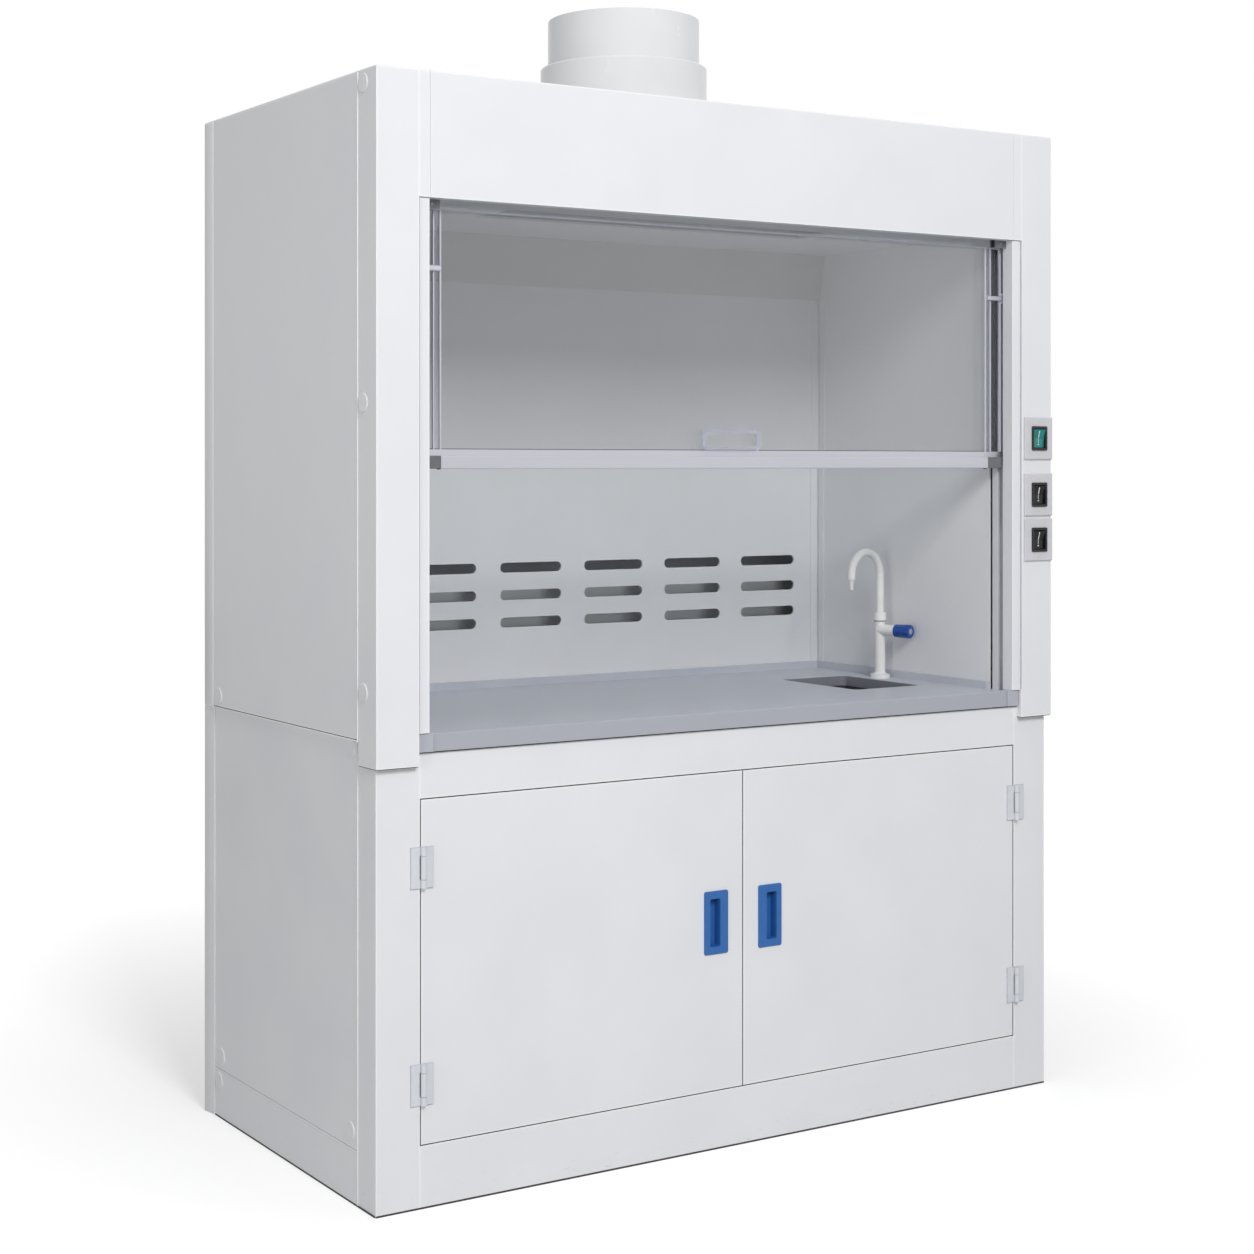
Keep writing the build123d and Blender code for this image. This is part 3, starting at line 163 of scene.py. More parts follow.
def tint_box(tree, colour, place, low, high, box_colour):
    """Gives what lies between two corners another colour: the largest part of the distance
    from the middle, less half the size, is under zero there."""
    low, high = np.array(low), np.array(high)
    away = add(tree, "VectorMath", {"operation": "SUBTRACT", 1: tuple((low + high) / 2)},
               {0: place}).outputs[0]
    away = add(tree, "VectorMath", {"operation": "ABSOLUTE"}, {0: away}).outputs[0]
    past = add(tree, "VectorMath", {"operation": "SUBTRACT", 1: tuple((high - low) / 2)},
               {0: away}).outputs[0]
    parts = add(tree, "SeparateXYZ", links={0: past}).outputs
    most = add(tree, "Math", {"operation": "MAXIMUM"}, {0: parts[0], 1: parts[1]}).outputs[0]
    most = add(tree, "Math", {"operation": "MAXIMUM"}, {0: most, 1: parts[2]}).outputs[0]
    inside = add(tree, "Math", {"operation": "LESS_THAN", 1: 0.0}, {0: most}).outputs[0]
    return add(tree, "Mix", {"data_type": "RGBA", 7: linear(box_colour)},
               {0: inside, 6: colour}).outputs[2]


def paint_of(tree, cloud, light, dark, rough):
    """A colour and a roughness that both follow the cloud across NOISE_SPAN, in which nearly
    all values of a noise lie."""
    colour = ramp(tree, cloud, ((NOISE_SPAN[0], dark), (NOISE_SPAN[1], light)))
    roughness = add(tree, "MapRange", {"From Min": NOISE_SPAN[0], "From Max": NOISE_SPAN[1],
                                       "To Min": rough[0], "To Max": rough[1]},
                    {"Value": cloud}).outputs[0]
    return colour, roughness


def opaque_finish(name, light, dark, rough, cloud_mm, grain_mm, relief_mm,
                  edge_mm=0.6, stretch=(1, 1, 1), boxes=(), edge=None, **shader):
    """A colour that drifts between light and dark over cloud_mm, a relief of relief_mm in
    grains of grain_mm, a roughness between the two values of rough, and softened edges. Each
    of the boxes, and the edges if a colour is given, are tinted; a pale edge colour is a
    painted highlight and a dark one painted shade."""
    material, tree, output, place = start_material(name)
    drawn = add(tree, "Mapping", {"Scale": stretch}, {"Vector": place}).outputs[0]
    cloud = add(tree, "TexNoise", {"Scale": per_metre(cloud_mm), "Detail": 3.0},
                {"Vector": drawn}).outputs["Fac"]
    grain = add(tree, "TexNoise", {"Scale": per_metre(grain_mm), "Detail": 2.0},
                {"Vector": drawn}).outputs["Fac"]
    colour, roughness = paint_of(tree, cloud, light, dark, rough)
    for low, high, box_colour in boxes:
        colour = tint_box(tree, colour, place, low, high, box_colour)
    rounded = add(tree, "Bevel", {"samples": 4, "Radius": edge_mm / 1000}).outputs[0]
    if edge:
        colour = paint_edge_light_and_shade(tree, colour, rounded, edge)
    relief = add(tree, "Bump", {"Strength": 1.0, "Distance": relief_mm / 1000},
                 {"Height": grain, "Normal": rounded}).outputs[0]
    finish_material(tree, output, shader, {"Base Color": colour, "Roughness": roughness,
                                           "Normal": relief})
    return material


print("one recipe, sizes in millimetres")

# %% [markdown]
# Powder coat is a dry paint that is sprayed on as dust and baked, which leaves a faint
# orange-peel skin about 2 mm from crest to crest. On a floor-standing cabinet the bottom edge
# collects scuffs from shoes and mops. They could be painted by hand, but a mask from the
# height above the floor and a noise puts them where they belong on every piece at once. The
# folded edges are round by 1.6 mm, and a thin pale line of painted highlight runs along each
# edge, where the round would catch the light. Two Bevel nodes give both without touching
# the mesh.

# %% Powder-coated steel
SCUFF_HEIGHT, SCUFF_COVER = 0.06, 0.4
FOLD_RADIUS, HIGHLIGHT_ZONE = 0.0016, 0.0048
CLOUD_MM, PEEL_MM, SCUFF_MM = 220, 2.2, 26
PEEL_DEPTH = 0.00004
COAT_ROUGH = (0.36, 0.44)


def powder_coat(name, light, dark, scuff):
    """Orange peel on a near-white paint, with scuffs where the height above the floor is
    small and a coarse noise is high, and a painted highlight along the edges."""
    material, tree, output, place = start_material(name)
    cloud = add(tree, "TexNoise", {"Scale": per_metre(CLOUD_MM), "Detail": 3.0},
                {"Vector": place}).outputs["Fac"]
    peel = add(tree, "TexNoise", {"Scale": per_metre(PEEL_MM), "Detail": 1.5},
               {"Vector": place}).outputs["Fac"]
    smear = add(tree, "Mapping", {"Scale": (1, 1, 3)}, {"Vector": place}).outputs[0]
    rub = add(tree, "TexNoise", {"Scale": per_metre(SCUFF_MM), "Detail": 6.0,
                                 "Roughness": 0.7}, {"Vector": smear}).outputs["Fac"]
    height = add(tree, "SeparateXYZ", links={0: place}).outputs["Z"]
    low = add(tree, "MapRange", {"From Min": 0.0, "From Max": SCUFF_HEIGHT, "To Min": 1.0,
                                 "To Max": 0.0}, {"Value": height}).outputs[0]
    patch = add(tree, "MapRange", {"From Min": 0.6, "From Max": 0.76,
                                   "To Max": SCUFF_COVER}, {"Value": rub}).outputs[0]
    mask = add(tree, "Math", {"operation": "MULTIPLY"}, {0: low, 1: patch}).outputs[0]
    paint, roughness = paint_of(tree, cloud, light, dark, COAT_ROUGH)
    colour = add(tree, "Mix", {"data_type": "RGBA", 7: linear(scuff)},
                 {0: mask, 6: paint}).outputs[2]
    rounded = add(tree, "Bevel", {"samples": 6, "Radius": FOLD_RADIUS}).outputs[0]
    # A wider rounding finds the edges, and a near-white painted highlight is mixed in there.
    highlight_zone = add(tree, "Bevel", {"samples": 6, "Radius": HIGHLIGHT_ZONE}).outputs[0]
    colour = paint_edge_light_and_shade(tree, colour, highlight_zone, "#FDFDFD")
    skin = add(tree, "Bump", {"Strength": 1.0, "Distance": PEEL_DEPTH},
               {"Height": peel, "Normal": rounded}).outputs[0]
    finish_material(tree, output, {"IOR": 1.5},
                    {"Base Color": colour, "Roughness": roughness, "Normal": skin})
    return material


steel_paint = powder_coat("powder_coated_steel", "#E5E6E9", "#E1E2E6", "#8E8B86")
print("paint:", steel_paint.name)

# %% [markdown]
# The boards and mouldings. The worktop is cast resin with a satin face, the lining is a
# pressed resin board, the sink is injection-moulded polypropylene and the duct is extruded
# PVC, which is the glossiest of them because it leaves its die smooth. Two boxes, each given
# by two corners and a colour, darken the worktop's front lip and the cut edge of its opening;
# the darker cut edge is painted shade in the opening's hollow. The upper baffle is the lining
# board made darker, as painted shade, and the pale edges of the worktop and its end blocks
# are painted highlights.

# %% Boards and mouldings
LIP = ((-2, -1, 0), (2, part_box("worktop")[0][1] + 0.0004, 2), "#A9ACB5")
# Painted shade: the cut edge of the sink opening, darker where it lies in the hollow.
SINK_CUT_SHADE = ((0.4965, -0.186, 0.9), (0.7025, 0.105, 0.9365), "#84878F")
# The pale edge colours of the worktop and its end blocks are painted highlights.
worktop_resin = opaque_finish("cast_epoxy_resin", "#C3C7D0", "#BDC1CB", (0.34, 0.42), 120,
                              0.9, 0.02, edge_mm=1.6, boxes=(LIP, SINK_CUT_SHADE), edge="#D9DBE2")
block_resin = opaque_finish("moulded_worktop_trim", "#B2B5BE", "#ACAFB9", (0.32, 0.4), 60,
                            0.9, 0.015, edge_mm=1.2, edge="#D2D5DC")
lining_board = opaque_finish("pressed_resin_board", "#E4E5E7", "#E0E1E3", (0.3, 0.38), 260,
                             1.4, 0.008)
# Painted shade: the upper baffle is the lining board made darker for its tilt and shadow.
baffle_shade_board = opaque_finish("resin_board_painted_shade", "#D0D1D1", "#CBCCCC", (0.32, 0.4), 260,
                             1.4, 0.008)
sink_moulding = opaque_finish("moulded_polypropylene", "#3F4247", "#36393E", (0.42, 0.52), 70,
                              0.8, 0.03, edge_mm=2.0)
duct_pvc = opaque_finish("extruded_pvc", "#DCDDDE", "#D6D7D9", (0.2, 0.28), 160, 60.0, 0.02,
                         edge_mm=0.8)
print("boards and mouldings ready")

# %% [markdown]
# Small coloured mouldings. ABS takes a clean gloss from its tool, so the blue pulls and the
# knob have a low roughness and almost no relief.

# %% Coloured plastics
pull_abs = opaque_finish("blue_abs", "#2F68AC", "#2C64A7", (0.38, 0.42), 30, 0.6, 0.004,
                         edge_mm=0.15)
knob_abs = opaque_finish("blue_knob_abs", "#1D4AA2", "#194394", (0.16, 0.24), 14, 0.6, 0.006,
                         edge_mm=0.5)
sash_trim_abs = opaque_finish("charcoal_abs", "#6E7074", "#66686C", (0.4, 0.5), 20, 0.5, 0.015)
holder_rubber = opaque_finish("extruded_glazing_rubber", "#4C4F55", "#45484E", (0.42, 0.5), 30,
                              0.8, 0.01, edge_mm=0.5)
# Painted shade: dark strips in this finish stand for the shadows in gaps and along contact
# lines.
painted_shade_strip = opaque_finish("dark_painted_shade_strip", "#45433F", "#383632", (0.7, 0.8), 12, 1.2, 0.05,
                          edge_mm=0.3)
# This white is real print on the rockers and painted highlight on the side panels' edges and
# seams.
print_and_highlight_ink = opaque_finish("white_pad_print_and_painted_highlight", "#F4F5F4", "#EDEEED", (0.3, 0.4), 6, 0.5, 0.004,
                         edge_mm=0.1)
# This grey is the knob's real index disc, and painted shade lines at the jambs and the kick
# seam.
index_and_shade_abs = opaque_finish("grey_index_abs_and_painted_shade", "#9DA3AD", "#939AA5", (0.3, 0.4), 8, 0.6, 0.006,
                          edge_mm=0.3)
# Painted highlight: the caps' white edge colour, where their rounded rims catch the light.
plug_abs = opaque_finish("white_cap_abs", "#E6E7E9", "#E0E1E4", (0.28, 0.34), 25, 0.8, 0.006,
                         edge_mm=1.4, edge="#FFFFFF")
plate_abs = opaque_finish("grey_plate_polycarbonate", "#D0D0D4", "#C9C9CE", (0.34, 0.42), 30,
                          0.5, 0.01, edge_mm=0.6)
switch_abs = opaque_finish("black_switch_nylon", "#1C1D1F", "#151617", (0.22, 0.32), 12, 0.4,
                           0.006, edge_mm=0.4)
green_lens = opaque_finish("green_rocker_polycarbonate", "#24918C", "#1E8884", (0.12, 0.2), 9,
                           0.6, 0.006, edge_mm=0.4, **{"Transmission Weight": 0.15})
print("plastics ready")

# %% [markdown]
# The tap is brass under a thick epoxy coat, which pools slightly and shines. The other
# hidden pieces are rubber, plated steel and painted cast iron. Cast iron keeps the print of
# its sand mould, so its relief is ten times deeper than the others.

# %% Tap coat, rubber, plated steel, iron
tap_coat = opaque_finish("epoxy_coated_brass", "#EDEDEC", "#E6E6E5", (0.14, 0.22), 40, 1.5,
                         0.01, edge_mm=0.8)
nozzle_pp = opaque_finish("natural_polypropylene", "#E2E2E0", "#DADAD8", (0.3, 0.38), 8, 0.5,
                          0.006, edge_mm=0.2)
belt_rubber = opaque_finish("moulded_neoprene", "#26272A", "#1C1D1F", (0.6, 0.75), 20, 1.0,
                            0.05, edge_mm=0.3)
plated_steel = opaque_finish("zinc_plated_steel", "#B9BABC", "#A4A6A9", (0.28, 0.42), 9, 1.5,
                             0.008, edge_mm=0.4, Metallic=1.0)
weight_iron = opaque_finish("painted_cast_iron", "#3C3E41", "#333538", (0.5, 0.62), 40, 1.6,
                            0.1, edge_mm=1.5)
# Painted shade: the hinges' dark edge colour stands for the contact shadow round them.
hinge_zinc = opaque_finish("satin_zinc_casting", "#D6D9DE", "#D0D3D9", (0.34, 0.42), 20, 0.7,
                           0.01, edge_mm=1.8, edge="#9299A6")
# Painted highlight: the tracks' pale edge colour.
track_coat = opaque_finish("coated_track_aluminium", "#D6D7DA", "#D0D1D5", (0.36, 0.44), 60,
                           0.8, 0.006, edge_mm=0.6, edge="#ECECEE")
# Painted shade: the left stile is darker in this box, for the shadow of the jamb beside it.
LEFT_STILE_SHADE = ((-0.79, -1, 1), (-0.77, 0, 3), "#8C8D94")
stile_coat = opaque_finish("lavender_edge_profile", "#C4C5D3", "#BDBECD", (0.3, 0.38), 50, 0.6,
                           0.004, edge_mm=0.5, boxes=(LEFT_STILE_SHADE,))
guide_nylon = opaque_finish("grey_guide_nylon", "#75767B", "#6B6C72", (0.42, 0.5), 16, 0.6,
                            0.01, edge_mm=0.5)
anodised = opaque_finish("anodised_aluminium", "#D9DAE2", "#CECFD8", (0.32, 0.4), 40, 0.5,
                         0.004, edge_mm=0.5, stretch=(0.05, 1, 1), Metallic=0.85)
lamp_coat = opaque_finish("phosphor_coated_glass", "#F2F2EF", "#EDEDEA", (0.2, 0.26), 40, 2.0,
                          0.004)
print("tap, drive and lamp finishes ready")

# %% [markdown]
# Float glass, toughened. A solid refracting pane is right for the eye, but it would throw a
# black shadow into the work space, because a light ray can't be traced through it directly.
# For the rays that carry shadow and soft light the shader is swapped for a nearly clear one,
# which is how a thin pane really behaves.

# %% Float glass
GLASS_IOR, GLASS_MIRROR = 1.5, 0.1


def clear_sheet(name, tint, shade):
    """A refracting shader for what the eye sees, and a tinted transparent one for the rays
    that carry light through the pane."""
    material, tree, output, _ = start_material(name)
    glass = add(tree, "BsdfPrincipled", {"Base Color": linear(tint), "Roughness": 0.0,
                                         "IOR": GLASS_IOR, "Transmission Weight": 1.0,
                                         "Specular IOR Level": GLASS_MIRROR})
    clear = add(tree, "BsdfTransparent", {"Color": linear(shade)})
    ray = add(tree, "LightPath").outputs
    light_ray = add(tree, "Math", {"operation": "MAXIMUM"},
                    {0: ray["Is Shadow Ray"], 1: ray["Is Diffuse Ray"]}).outputs[0]
    both = add(tree, "MixShader", links={0: light_ray, 1: glass.outputs[0],
                                         2: clear.outputs[0]})
    tree.links.new(both.outputs[0], output.inputs["Surface"])
    return material


float_glass = clear_sheet("toughened_float_glass", "#F0F0F1", "#F7F8F8")
print("glass:", float_glass.name)

# %% [markdown]
# The lift handle is a loop of clear acrylic in front of glass. Full refraction through a bar
# so thin only gathers dark dots, so it is drawn as the eye takes it: see-through where the
# surface faces us and a pale lavender shine towards its edges, from the Layer Weight node.

# %% Clear acrylic
EDGE_SHINE = (0.1, 0.75)
LOOP_ROUND, SHINE_BLEND, SHINE_ROUGH = 0.0015, 0.4, 0.12


def clear_acrylic(name, clear, shine):
    """Mixes a transparent shader with a pale glossy one, by how far the surface turns away."""
    material, tree, output, _ = start_material(name)
    rounded = add(tree, "Bevel", {"samples": 4, "Radius": LOOP_ROUND}).outputs[0]
    facing = add(tree, "LayerWeight", {"Blend": SHINE_BLEND}, {"Normal": rounded})
    amount = add(tree, "MapRange", {"To Min": EDGE_SHINE[0], "To Max": EDGE_SHINE[1]},
                 {"Value": facing.outputs["Facing"]}).outputs[0]
    body = add(tree, "BsdfTransparent", {"Color": linear(clear)})
    edge = add(tree, "BsdfPrincipled", {"Base Color": linear(shine),
                                        "Roughness": SHINE_ROUGH})
    both = add(tree, "MixShader", links={0: amount, 1: body.outputs[0], 2: edge.outputs[0]})
    tree.links.new(both.outputs[0], output.inputs["Surface"])
    return material


acrylic = clear_acrylic("cast_acrylic", "#F4F5FA", "#E6E6F2")
print("acrylic:", acrylic.name)

# %% [markdown]
# Each model piece now gets its finish. A table from the finish to the names of its pieces is
# the plainest way to say it, and a check prints what was left out.

# %% Dress the model pieces
finish_of = {
    steel_paint: ("lower_posts", "lower_side_panels", "rear_posts", "front_rail", "plinth",
                  "cabinet_floor", "back_panels", "door_left", "door_right", "upper_posts",
                  "upper_side_panels", "header", "jambs", "top_panel", "lamp_housing"),
    pull_abs: ("pull_left", "pull_right"),
    hinge_zinc: ("hinge_frame_leaves", "hinge_door_left", "hinge_door_right"),
    anodised: ("sash_rail", "belt_clamps"),
    stile_coat: ("sash_stiles",),
    track_coat: ("sash_tracks",),
    holder_rubber: ("pane_holders",),
    worktop_resin: ("worktop",),
    block_resin: ("worktop_end_blocks",),
    sink_moulding: ("sink_bowl", "sink_trap"),
    tap_coat: ("tap_body", "tap_spout"),
    nozzle_pp: ("tap_nozzle",),
    knob_abs: ("tap_knob",),
    lining_board: ("liners", "baffle_main", "ceiling_panel", "corner_strips"),
    baffle_shade_board: ("baffle_upper",),
    float_glass: ("lamp_window", "fixed_pane", "sash_glass"),
    acrylic: ("sash_handle",),
    duct_pvc: ("duct_collar", "duct_pipe"),
    sash_trim_abs: ("sash_end_blocks",),
    belt_rubber: ("belts",),
    plated_steel: ("drive_shaft", "lower_pulley_left", "lower_pulley_right",
                   "pulley_brackets"),
    weight_iron: ("counterweight_left", "counterweight_right"),
    plate_abs: ("switch_plates",),
    switch_abs: ("switch_bezels", "rocker_middle", "rocker_lower"),
    green_lens: ("rocker_upper",),
    plug_abs: ("hole_plugs", "lamp_holders"),
    lamp_coat: ("lamp_tube",),
}
for finish, names in finish_of.items():
    for name in names:
        slots = nodes[name].data.materials
        slots.clear()
        slots.append(finish)
dressed = {name for names in finish_of.values() for name in names}
print("without a finish:", sorted(set(nodes) - dressed))

# %% [markdown]
# What follows are pieces too fine for the imported model: strips of painted shade and
# highlight, bumpers, screws and printed marks. Each is a grid of points, rings of a closed
# outline one after the other, worked out as one array. Two shapes cover nearly all of them,
# a straight bar with rounded edges and a turned shape.

# %% Bars and turned shapes
SECTION_POINTS = 16
END_RINGS = 4
TURN_POINTS = 40


def bar(start, end, up, width, height, corner):
    """A straight bar. Its section is a circle of radius corner whose quarters are pushed out to
    a rectangle of width by height. Towards an end, the circle's radius is corner times the
    cosine of an angle while the way left to the end is corner times one less its sine. The
    last ring is the middle line's own end."""
    start, end, up = (np.array(vector, float) for vector in (start, end, up))
    along = (end - start) / np.linalg.norm(end - start)
    turn = (np.arange(SECTION_POINTS) + 0.5) * 2 * np.pi / SECTION_POINTS
    circle = np.stack([np.cos(turn), np.sin(turn)], axis=-1)
    middle = np.sign(circle) * (np.array([width, height]) / 2 - corner)
    angle = np.linspace(np.pi / 2, 0, END_RINGS)
    inset, radius = corner * (1 - np.sin(angle)), corner * np.cos(angle)
    length = np.linalg.norm(end - start)
    run = np.concatenate([[0], inset, length - inset[::-1], [length]])
    keep = np.concatenate([[0], np.ones(2 * END_RINGS), [0]])
    radii = np.concatenate([[0], radius, radius[::-1], [0]])
    flat = middle * keep[:, None, None] + circle * radii[:, None, None]
    return (start + along * run[:, None, None] + np.cross(along, up) * flat[..., :1]
            + up * flat[..., 1:])


def turned(centre, axis, radius, height, slot=0.0, slot_half=1.0):
    """A shape turned about an axis through the centre: at each radius and height, a circle.
    A slot lowers the rings above zero height where the distance across it is under
    slot_half."""
    centre, axis = np.array(centre, float), np.array(axis, float) / np.linalg.norm(axis)
    across = np.cross(axis, (0.0, 0.0, 1.0) if abs(axis[2]) < 0.9 else (1.0, 0.0, 0.0))
    across /= np.linalg.norm(across)
    radius, height = np.array(radius, float)[:, None], np.array(height, float)[:, None]
    turn = np.arange(TURN_POINTS) * 2 * np.pi / TURN_POINTS
    offset = np.abs(radius * np.sin(turn))
    depth = slot * np.clip(2 - 2 * offset / slot_half, 0, 1) * (height > 0)
    lift = np.broadcast_to(height, offset.shape) - depth
    return (centre + axis * lift[..., None] + across * (radius * np.cos(turn))[..., None]
            + np.cross(axis, across) * (radius * np.sin(turn))[..., None])


UP, FRONTWARD = (0, 0, 1), (0, -1, 0)
print("a bar is a grid of", bar((0, 0, 0), (1, 0, 0), UP, 0.01, 0.01, 0.002).shape)

# %% [markdown]
# A few such grids make one piece, such as both strips of a pair. The piece lies at the origin
# with its points where they belong, and rides on the body that moves it.

# %% One piece from its grids
SHARP_ANGLE, MERGE_DISTANCE = radians(40), 1e-6


def put(name, grids, body, finish):
    """Makes one piece of several grids. Each four neighbours of a grid form a face, the last
    point of a ring joins its first, and points that fall together are merged."""
    points, faces, before = [], [], 0
    for grid in grids:
        rings, around = grid.shape[:2]
        number = before + np.arange(rings * around).reshape(rings, around)
        beside = np.roll(number, -1, axis=1)
        faces.append(np.stack([number[:-1], beside[:-1], beside[1:], number[1:]],
                              axis=-1).reshape(-1, 4))
        points.append(grid.reshape(-1, 3))
        before += rings * around
    mesh = bpy.data.meshes.new(name)
    mesh.from_pydata(np.concatenate(points).tolist(), [], np.concatenate(faces).tolist())
    shell = bmesh.new()
    shell.from_mesh(mesh)
    bmesh.ops.remove_doubles(shell, verts=shell.verts, dist=MERGE_DISTANCE)
    bmesh.ops.recalc_face_normals(shell, faces=shell.faces)
    shell.to_mesh(mesh)
    shell.free()
    mesh.shade_smooth()
    mesh.set_sharp_from_angle(angle=SHARP_ANGLE)
    mesh.materials.append(finish)
    piece = bpy.data.objects.new(name, mesh)
    bpy.context.scene.collection.objects.link(piece)
    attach(piece, body)
    print(name, len(mesh.polygons), "faces")


SIDES = (-1, 1)
print("sharp above", round(SHARP_ANGLE, 3), "radians")

# %% [markdown]
# Dark lines tell the eye where one sheet ends and the next begins. These are painted shade:
# a dark strip runs round the foot of the cabinet for its contact shadow, one fills the gap
# under the worktop's lip for the shadow there, and a thin one lies under the foot of each
# upper post for its shadow. Unlike cast shadows, they stay in place under any light.

# %% Painted shade lines of the cabinet
base_low, base_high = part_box("lower_side_panels")
post_low, post_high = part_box("lower_posts")
rear_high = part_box("rear_posts")[1]
FOOT = dict(width=0.0008, height=0.0038, corner=0.0003)
FOOT_START, FOOT_END = 0.002, 0.0006
foot_z = FOOT["height"] / 2
side_x, front_y, back_y = base_high[0], post_low[1], rear_high[1] - FOOT_END
put("foot_shade_line", [
    bar((-post_high[0], front_y, foot_z), (post_high[0], front_y, foot_z), UP, **FOOT),
    bar((-side_x, back_y, foot_z), (-side_x, front_y + FOOT_START, foot_z), UP, **FOOT),
    bar((side_x, front_y + FOOT_START, foot_z), (side_x, back_y, foot_z), UP, **FOOT),
], "cabinet", painted_shade_strip)

lip_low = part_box("worktop_end_blocks")[0]
rail_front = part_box("front_rail")[0][1]
LIP_SHADE = dict(width=0.004, height=0.0025, corner=0.0006)
lip_y = rail_front - LIP_SHADE["width"] / 2
lip_z = lip_low[2] - LIP_SHADE["height"] / 2
put("lip_shade_line", [bar((lip_low[0], lip_y, lip_z), (-lip_low[0], lip_y, lip_z), UP, **LIP_SHADE)],
    "cabinet", painted_shade_strip)

upper_low, upper_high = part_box("upper_posts")
POST_SHADE = dict(height=0.0015, corner=0.0005)
POST_INNER, FRONT_WIDE, SIDE_WIDE = 0.806, 0.014, 0.005
post_shade_z = upper_low[2] - POST_SHADE["height"] / 2
front_line, side_line = front_y - 0.0075, side_x + 0.0032
put("post_foot_shade_lines", [
    bar((side * POST_INNER, front_line, post_shade_z),
        (side * (upper_high[0] - 0.001), front_line, post_shade_z), UP, width=FRONT_WIDE,
        **POST_SHADE) for side in SIDES] + [
    bar((side * side_line, front_y, post_shade_z),
        (side * side_line, upper_high[1] - 0.002, post_shade_z), UP, width=SIDE_WIDE,
        **POST_SHADE) for side in SIDES], "cabinet", painted_shade_strip)

# %% [markdown]
# A cover closes each rear corner of the cabinet. Beside the upper panel it is a flat strip.
# The lower panel lies further in, so there it is a wedge that starts flush with the panel and
# ends as far out as the strip above it. A step would catch the light as a bright line.

# %% Corner covers
COVER_FRONT, COVER_BACK, COVER_PROUD, COVER_DEEP = 0.3795, 0.4292, 0.0006, 0.006
WEDGE_FRONT = 0.3848
panel_low, panel_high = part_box("upper_side_panels")
cover_out = panel_high[0] + COVER_PROUD
cover_x, cover_y = cover_out - COVER_DEEP / 2, (COVER_FRONT + COVER_BACK) / 2
seam_z, roof_z = panel_low[2] - 0.002, panel_high[2] - 0.0004
put("rear_corner_covers", [
    bar((side * cover_x, cover_y, seam_z), (side * cover_x, cover_y, roof_z), FRONTWARD,
        width=COVER_DEEP, height=COVER_BACK - COVER_FRONT, corner=0.001)
    for side in SIDES], "cabinet", steel_paint)


def post(outline, low, high):
    """An upright post: a closed outline of (x, y) points at two heights, closed at each end
    on the outline's mean point."""
    middle = outline.mean(axis=0)
    rings = np.stack([np.broadcast_to(middle, outline.shape), outline, outline,
                      np.broadcast_to(middle, outline.shape)])
    heights = np.array([low, low, high, high])[:, None, None]
    return np.concatenate([rings, np.broadcast_to(heights, (*rings.shape[:2], 1))], axis=-1)


wedge = np.array([(side_x - 0.0005, WEDGE_FRONT), (side_x - 0.0005, COVER_BACK),
                  (cover_out - 0.0004, COVER_BACK), (cover_out, COVER_BACK - 0.0015),
                  (side_x + 0.0012, WEDGE_FRONT)])
WEDGE_FOOT = 0.0006
put("lower_corner_covers", [post(wedge * (side, 1), WEDGE_FOOT, seam_z) for side in SIDES],
    "cabinet", steel_paint)

# %% [markdown]
# A dark strip of painted shade with a pale strip of painted highlight under it marks the step
# where the upper side panel overhangs the lower one. Only their thin edges show, but they
# draw one of the lines by which the eye reads the cabinet's side.

# %% Side seams
SEAM_DARK, SEAM_PALE = (0.0001, 0.0014), (0.0014, 0.0036)
seam_x, seam_wide = (side_x + panel_high[0]) / 2, panel_high[0] - side_x


def side_seam(side, depths, out):
    """A bar along the side, between two depths below the edge of the upper panel."""
    middle, x = panel_low[2] - sum(depths) / 2, side * (seam_x + out)
    return bar((x, panel_low[1] - 0.0003, middle), (x, COVER_FRONT + 0.001, middle), UP,
               width=seam_wide, height=depths[1] - depths[0], corner=0.0004)


put("side_seam_shade_lines", [side_seam(side, SEAM_DARK, -0.0002) for side in SIDES], "cabinet",
    painted_shade_strip)
put("side_seam_highlights", [side_seam(side, SEAM_PALE, 0.0012) for side in SIDES], "cabinet",
    print_and_highlight_ink)

# %% [markdown]
# The front edge of each side panel catches the light, and so does the seam above the kick
# panel, which has a thin shadow over it. Pale and grey beads of 1 to 2 mm draw both, as
# painted highlights and a painted shadow.

# %% Painted highlights and shadow on the side panels
BEAD = dict(width=0.0016, height=0.0016, corner=0.0006)
SHADOW = dict(width=0.001, height=0.0013, corner=0.0004)
BEAD_PROUD, BEAD_BACK, BEAD_FOOT = 0.0001, 0.0008, 0.003
KICK_SEAM, SHADOW_RISE = 0.1093, 0.0016
upper_x, lower_x = panel_high[0] + BEAD_PROUD, side_x + BEAD_PROUD
shadow_z = KICK_SEAM + SHADOW_RISE
put("side_panel_highlights", [
    bar((side * x, y, low), (side * x, y, high), FRONTWARD, **BEAD)
    for side in SIDES for x, y, low, high in (
        (upper_x, panel_low[1] + BEAD_BACK, seam_z, roof_z),
        (lower_x, base_low[1] + BEAD_BACK, BEAD_FOOT, seam_z))] + [
    bar((side * lower_x, base_low[1], KICK_SEAM), (side * lower_x, WEDGE_FRONT, KICK_SEAM),
        UP, **BEAD) for side in SIDES], "cabinet", print_and_highlight_ink)
put("kick_seam_shadows", [
    bar((side * side_x, base_low[1], shadow_z), (side * side_x, WEDGE_FRONT, shadow_z), UP,
        **SHADOW) for side in SIDES], "cabinet", index_and_shade_abs)

# %% [markdown]
# A dark strip of painted shade fills the gap round the doors, a little behind their face. A
# strip of it between the doors moves with the right one. The posts end in a grey bead of
# painted shade where they meet the jambs.

